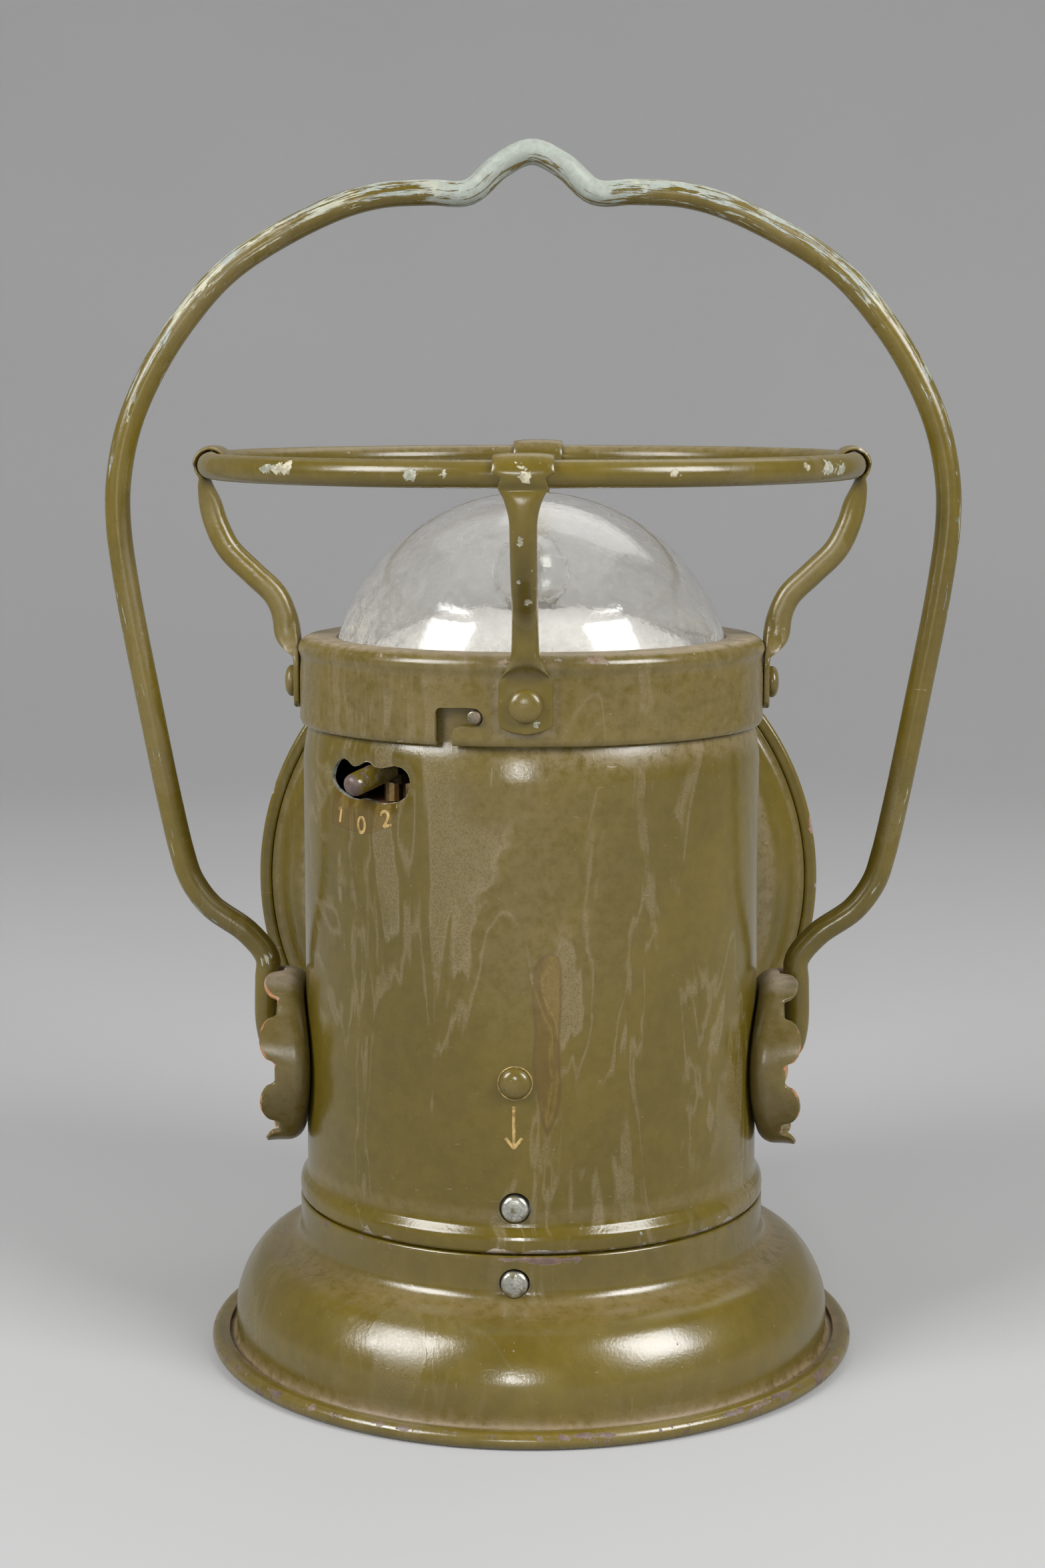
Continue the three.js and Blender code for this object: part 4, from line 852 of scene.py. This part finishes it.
bailSide = np.tile((0, 1.0, 0), (len(wire), 1))
bailWire = newObject("bail_wire", shell(swept(bailPath, bailSide, columns(thick, thick), sides=26)))


def bailFields(x, y, z):
    # Rubbed on its upper and outer side, most along the arch; along and round unroll the wire for its streaks
    near = np.argmin((x[:, None] - wire[None, :, 0])**2 + (z[:, None] - wire[None, :, 1])**2, axis=1)
    way = np.gradient(wire, axis=0)[near]
    way /= np.linalg.norm(way, axis=1)[:, None]
    outward = (x - wire[near, 0]) * way[:, 1] - (z - wire[near, 1]) * way[:, 0]
    turn = np.arctan2(-y, outward)
    arch, peak = ease(z, 190, 240), ease(-np.abs(x), -30, -12) * ease(z, 200, 240)
    upper = 0.5 + 0.5 * np.cos(turn - 0.35)
    wear = 0.24 + arch * (0.14 + 0.42 * upper**2) + 0.34 * peak + 0.26 * upper**3 * (1 - arch)
    wear -= 0.12 * ease(-z, -110, -80) + 0.45 * hump(turn, -0.9, 0.9) * (1 - peak)
    wear += 0.7 * hump(x, -58.5, 1.8) * hump(z, 86, 2.4)
    return {"wear": held(wear), "along": 1.2 * near, "round": 2.75 * np.cos(turn), "tube": 2.75 * np.sin(turn),
            "grey": held(1.1 * peak + 0.45 * hump(turn, 0.1, 0.5) * arch), "dust": 0.06 * arch}


dress(bailWire, "bail", ["bail_handle", "bail_foot_left", "bail_foot_right"], bailEnamel, bailFields)

cupLook = {"radius": 19.4, "floor": 50.35, "rim": 58.4, "notch": 3.4, "wall": 1.0, "corner": 4.2}
cupTurns = wholeTurn(1.8)


def lobeShare(turn):
    # 0 in a notch's flat bottom, 1 on a lobe, by arc length from the nearest of the eight notches
    away = (turn / degree + 22.5) % 45 - 22.5
    return held((np.abs(away) * degree * cupLook["radius"] - 2.2) / 5.4)


def rimHeight(share):
    return cupLook["rim"] - cupLook["notch"] * (1 - np.sqrt(1 - (1 - share)**2) * ease(share, -0.04, 0.14))


def cupFloor(y):
    return np.sqrt(cupLook["floor"]**2 - np.minimum(y**2, 46**2))


rimAt = rimHeight(lobeShare(cupTurns))
flare = 0.55 * (1 - (1 - lobeShare(cupTurns))**2) - 0.25


def cupSide(radius, lift, corner, steps):
    # Floor bent to the case, a rounded corner, then a wall up to the notched rim; returns points by (angle, step)
    flatRadii = np.linspace(0, radius - corner, 9)
    bend = np.linspace(0, np.pi / 2, 7)[1:]
    radii = np.concatenate([flatRadii, radius - corner + corner * np.sin(bend), np.full(steps, radius)])
    rises = np.concatenate([np.zeros(9), corner * (1 - np.cos(bend)), np.zeros(steps)])
    share = np.concatenate([np.zeros(15), np.linspace(0, 1, steps + 1)[1:]])
    y, z = radii * np.sin(cupTurns)[:, None], radii * np.cos(cupTurns)[:, None]
    ground = cupFloor(y) + lift
    x = np.where(share > 0, (ground + corner) * (1 - share) + rimAt[:, None] * share, ground + rises)
    grow = 1 + flare[:, None] / radius * share**3
    return np.stack([x, y * grow, bailLook["pivot"] + z * grow], axis=-1)


outside = cupSide(cupLook["radius"], 0, cupLook["corner"], 12)
inside = cupSide(cupLook["radius"] - cupLook["wall"], cupLook["wall"], cupLook["corner"] - 0.9, 12)
edgeRow = (outside[:, -1:] + inside[:, -1:]) / 2 + np.array([0.35, 0, 0])
cupGrid = np.concatenate([outside, edgeRow, inside[:, ::-1]], axis=1)


def cupFields(x, y, z):
    far = np.hypot(y, z - bailLook["pivot"])
    turn = np.arctan2(y, z - bailLook["pivot"])
    edge = hump(np.abs(x), rimHeight(lobeShare(turn)) + 0.2, 0.6) * ease(far, 17.5, 18.3)
    back = hump(np.abs(x), cupFloor(y) + 0.6, 0.9) * ease(z, 78, 83)
    return {"wear": held(0.66 * edge + 0.62 * back + 0.05), "rust": held(edge + back) * 0.2,
            "dust": held(0.75 * ease(z, 79, 83) + 0.25 * ease(18.6 - far, 0, 1))}


for side, sign in (("left", -1), ("right", 1)):
    cup = newObject("cup_" + side, shell(cupGrid * (sign, 1, 1), True, False))
    dress(cup, "case", ["bail_cup_" + side], cupEnamel, cupFields, 50)
print("bail and cups made")


# The headlight on the far side: bowl, bezel, lens, reflector and lamp, turned about its beam

beamHeight = 92
beam = ((0, 0, beamHeight), (0, 1, 0), (0, 0, -1))
headTurns = wholeTurn(2)
bowlLine = smoothLine([
    (6.65, 53.5), (23.65, 53.5), (40.7, 55.3), (52.6, 58.2), (58.4, 60.4), (60.2, 61.9), (61.9, 64.2), (63.6, 66.3),
    (64.6, 67), (65.7, 67.1)
], 1.0)


def headFields(x, y, z):
    far = np.hypot(x, z - beamHeight)
    spot = np.exp(-((x - 69.5)**2 + (z - 106.5)**2) / 14)
    # Besides dust on the upper part, the bowl's face inside 57 to 59.5 mm from the beam is made pale as a painted soft
    # highlight, and a thin pale ring 65 mm out is a painted highlight on the rim's edge
    dust = 0.22 * ease(z, 120, 160) + 0.34 * ease(-far, -59.5, -57.0) + 0.3 * hump(far, 65.0, 0.5)
    return {"wear": held(0.3 * hump(far, 69, 0.8) + 0.9 * spot + 0.04), "dust": held(dust),
            "rust": 0.8 * spot}


bowl = spun("headlight_shell", walled(bowlLine, 0.84), headTurns, True, *beam)
dress(bowl, "case", ["headlight_bowl"], headEnamel, headFields)
bezelLine = filleted([
    (66.05, 68.9), (66.05, 66.8), (68.4, 66.8), (69, 67.4), (69, 68.9), (67.92, 69.5), (67.92, 73.7), (66.84, 74.8),
    (61.4, 74.8)
], 0.5)
bezel = spun("headlight_ring", walled(evenSteps(bezelLine, 0.4), 0.95), headTurns, True, *beam)
dress(bezel, "case", ["headlight_bezel"], headEnamel, headFields)
radii = np.linspace(0, 65.6, 50)
front = columns(radii, 73.3 + 3.0 * (1 - (radii / 65.6)**2))
lensLine = np.vstack([front, [(65.6, 73.0), (65.6, 71.4)], (front - (0, 2.1))[::-1] * (0.985, 1)])
lens = spun("headlight_glass", lensLine, headTurns, False, *beam)
dress(lens, "case", ["headlight_lens"], lensClear,
      lambda x, y, z: {"dust": 0.1 + 0.15 * hump(np.hypot(x, z - beamHeight), 60, 3)})
radii = np.linspace(7.0, 64.4, 60)
dish = walled(columns(radii, 56.9 + 12.0 * ((radii - 7) / 57.4)**2), -0.5)
dress(spun("headlight_dish", dish, headTurns, True, *beam), "case", ["headlight_reflector"], mirror)
bulb("headlight_lamp", ["headlight_bulb_glass"], (0, 63.5, beamHeight), (0, 1, 0), up, 6.15, -5.6)
print("headlight made")


# Switch lever, latch studs and the painted signs

lean = 14 * degree
leverAngle = -42.1 * degree
way = aroundCase(leverAngle, np.cos(lean), -np.sin(lean))
pivot = aroundCase(leverAngle, caseRadius, 130.8)
leverLine = np.array([
    (0, 4.75), (1.0, 4.7), (1.7, 4.45), (2.15, 3.95), (2.38, 3.2), (2.42, 2.4), (2.42, -7.3), (0, -7.3)
])
upWay = np.cross(np.cross(way, up), way)
lever = spun("lever_rod", leverLine, wholeTurn(10), False, pivot, way, upWay / np.linalg.norm(upWay))


def leverFields(x, y, z):
    out = (np.stack([x, y, z], axis=-1) - pivot) @ way
    return {"wear": held(0.4 + 1.1 * ease(out, 3.6, 4.0)), "rust": 0.45 * ease(out, 3.6, 4.0)}


dress(lever, "switch", ["switch_lever"], leverEnamel, leverFields)


def crowned(radius, face, end, flat, bulge, steps=14):
    # The rounded top of a head, from its middle at the end down to its face
    arc = np.linspace(0, 1, steps)[1:] * np.pi / 2
    return np.vstack([[(0, end)], columns(radius * np.sin(arc)**flat, face + (end - face) * np.cos(arc)**bulge)])


def studRings(x, y, z):
    arc = (np.arctan2(x, -y) - latchAngle) * caseRadius
    nearest = np.where(np.abs(z - buttonHeight) < np.abs(z - catchHeight), buttonHeight, catchHeight)
    return {"rings": np.hypot(arc, z - nearest) * 1.4}


for name, replaced, height, face, end in (("button_head", "latch_button", buttonHeight, 50.4, 51.6),
                                          ("catch_head", "latch_catch", catchHeight, 52.0, 53.15)):
    studLine = np.vstack([crowned(2.85, face, end, 0.8, 0.75), [(2.85, face - 0.25), (2.85 * 0.97, 47.5), (0, 47.5)]])
    head = spun(name, studLine, wholeTurn(7.5), False, (0, 0, height), aroundCase(latchAngle), up)
    dress(head, "latch", [replaced], zinc, studRings)
headLine = np.vstack([crowned(3.2, 50.45, 52.0, 0.9, 0.9), [(3.2, 50.0), (2.0, 49.9), (2.0, 44.6), (0, 44.6)]])
rivet = spun("latch_head", headLine, wholeTurn(7.5), False, (0, 0, rivetHeight), aroundCase(latchAngle), up)
dress(rivet, "case", ["latch_rivet"], caseEnamel, lambda x, y, z: {"wear": 0.3, "dust": 0.1})


def stroke(points, centre, width, rise, turn=0.0, smooth=False):
    # A painted line on the case: points (across, up) about a centre (angle in degrees, height), turned on the surface
    p = np.array(points, float)
    p = smoothLine(p, 0.15) if smooth else evenSteps(p, 0.15)
    c, s = np.cos(turn * degree), np.sin(turn * degree)
    p = p @ np.array([(c, s), (-s, c)])
    angle = centre[0] * degree + p[:, 0] / caseRadius
    path = aroundCase(angle, caseRadius + 0.02, centre[1] + p[:, 1])
    side = np.cross(np.gradient(path, axis=0), aroundCase(angle))
    return shell(swept(path, side, np.tile((width, rise), (len(p), 1)), 2.5, 12, 0.12))


def oval(across, high, start, end, steps):
    turn = np.linspace(start, end, steps)
    return columns(across * np.cos(turn), high * np.sin(turn))


numerals = {"1": [(-0.75, 0.95), (-0.2, 1.25), (0.15, 1.6), (0.15, -1.6)],
            "2": [(-0.95, 0.85), (-0.65, 1.4), (0.05, 1.6), (0.8, 1.2), (0.85, 0.55), (0.3, -0.35), (-0.95, -1.55),
                  (1.0, -1.55)],
            "0": oval(1.0, 1.6, np.pi / 2, 2.5 * np.pi, 13)}
signs = [stroke(numerals[figure], (angle, height), 0.36, 0.17, turn, figure == "0")
         for figure, angle, height, turn in (("1", -51.6, 122.7, -13), ("0", -43.4, 121.2, 0), ("2", -35.4, 123.2, 15))]
dress(newObject("switch_numbers", joined(signs)), "case", [], signPaint)
arrow = [stroke(points, (-2.8, 60.7), 0.34, 0.15)
         for points in ([(0, 4.3), (0, -4.3)], [(-1.65, -2.3), (0, -4.4)], [(1.65, -2.3), (0, -4.4)])]
arrow.append(stroke(oval(3.5, 3.5, 0, 2 * np.pi, 60), (-2.5, rivetHeight), 0.13, 0.12))
dress(newObject("press_arrow", joined(arrow)), "case", [], signPaint)
print("switch, latch and signs made")


# Solids that keep their own shape get their finish

keptFinish = {
    rubber: ["case_gasket", "dome_gasket", "headlight_gasket", "battery_pad"],
    boardBrown: ["contact_board"],
    batteryCard: ["battery"],
    brass: ["battery_terminal_centre", "battery_terminal_corner", "contact_stud_1", "contact_stud_2", "contact_stud_3",
            "headlight_socket", "headlight_bulb_base"],
    grimyBrass: ["switch_arm"],
    zinc: ["latch_leaf", "switch_post", "headlight_screw"],
    headEnamel: ["headlight_saddle", "headlight_clamp"],
}
for finish, names in keptFinish.items():
    for name in names:
        for holder in nodes[name].material_slots:
            holder.material = finish


# Pale round backdrop, soft lamps and sky

stageLook = {"glow": 0.05, "radius": 1.7, "wall": 2.6, "sky": 0.2, "tone": (0.345, 0.345, 0.345),
             "toneOther": (0.365, 0.365, 0.365)}
white = (1, 1, 1, 1)
sweepLine = filleted([(0, 0), (stageLook["radius"], 0), (stageLook["radius"], stageLook["wall"])], 0.8, 24) / mm
backdrop = spun("backdrop", sweepLine, wholeTurn(5))
backdrop.data.shade_smooth()
paper = Surface("pale paper", {"Roughness": 0.9, "Specular IOR Level": 0.1, "Emission Color": white})
rays = paper.put("LightPath", {}).node.outputs
seen = paper.most(paper.most(rays["Is Camera Ray"], rays["Is Glossy Ray"]), rays["Is Transmission Ray"])
paper.link({"Base Color": paper.mixed(paper.cloud(5.0), stageLook["tone"], stageLook["toneOther"]),
            "Emission Strength": paper.times(seen, stageLook["glow"])})
backdrop.data.materials.append(paper.material)

world = bpy.data.worlds.new("world")
world.use_nodes = True
world.node_tree.nodes["Background"].inputs[0].default_value = white
world.node_tree.nodes["Background"].inputs[1].default_value = stageLook["sky"]
bpy.context.scene.world = world

# Name, place, width, height, power
lamps = [("left box", (-0.84, -0.59, 0.78), 0.56, 0.62, 16.5), ("right box", (0.84, -0.59, 0.76), 0.54, 0.62, 16.5),
         ("front box", (-0.1, -1.25, 0.34), 0.1, 0.1, 2.4), ("top box", (0.0, 0.25, 1.3), 1.5, 1.5, 2.8),
         ("back box", (0.35, 0.95, 1.45), 1.2, 0.9, 4.0)]
for name, spot, width, height, power in lamps:
    lamp = bpy.data.objects.new(name, bpy.data.lights.new(name, "AREA"))
    lamp.data.shape = "RECTANGLE"
    lamp.data.size, lamp.data.size_y, lamp.data.energy = width, height, power
    lamp.location = spot
    lamp.rotation_euler = (Vector((0, 0, 0.12)) - Vector(spot)).to_track_quat("-Z", "Y").to_euler()
    lamp.visible_camera = False
    bpy.context.collection.objects.link(lamp)
print("stage and lamps set")
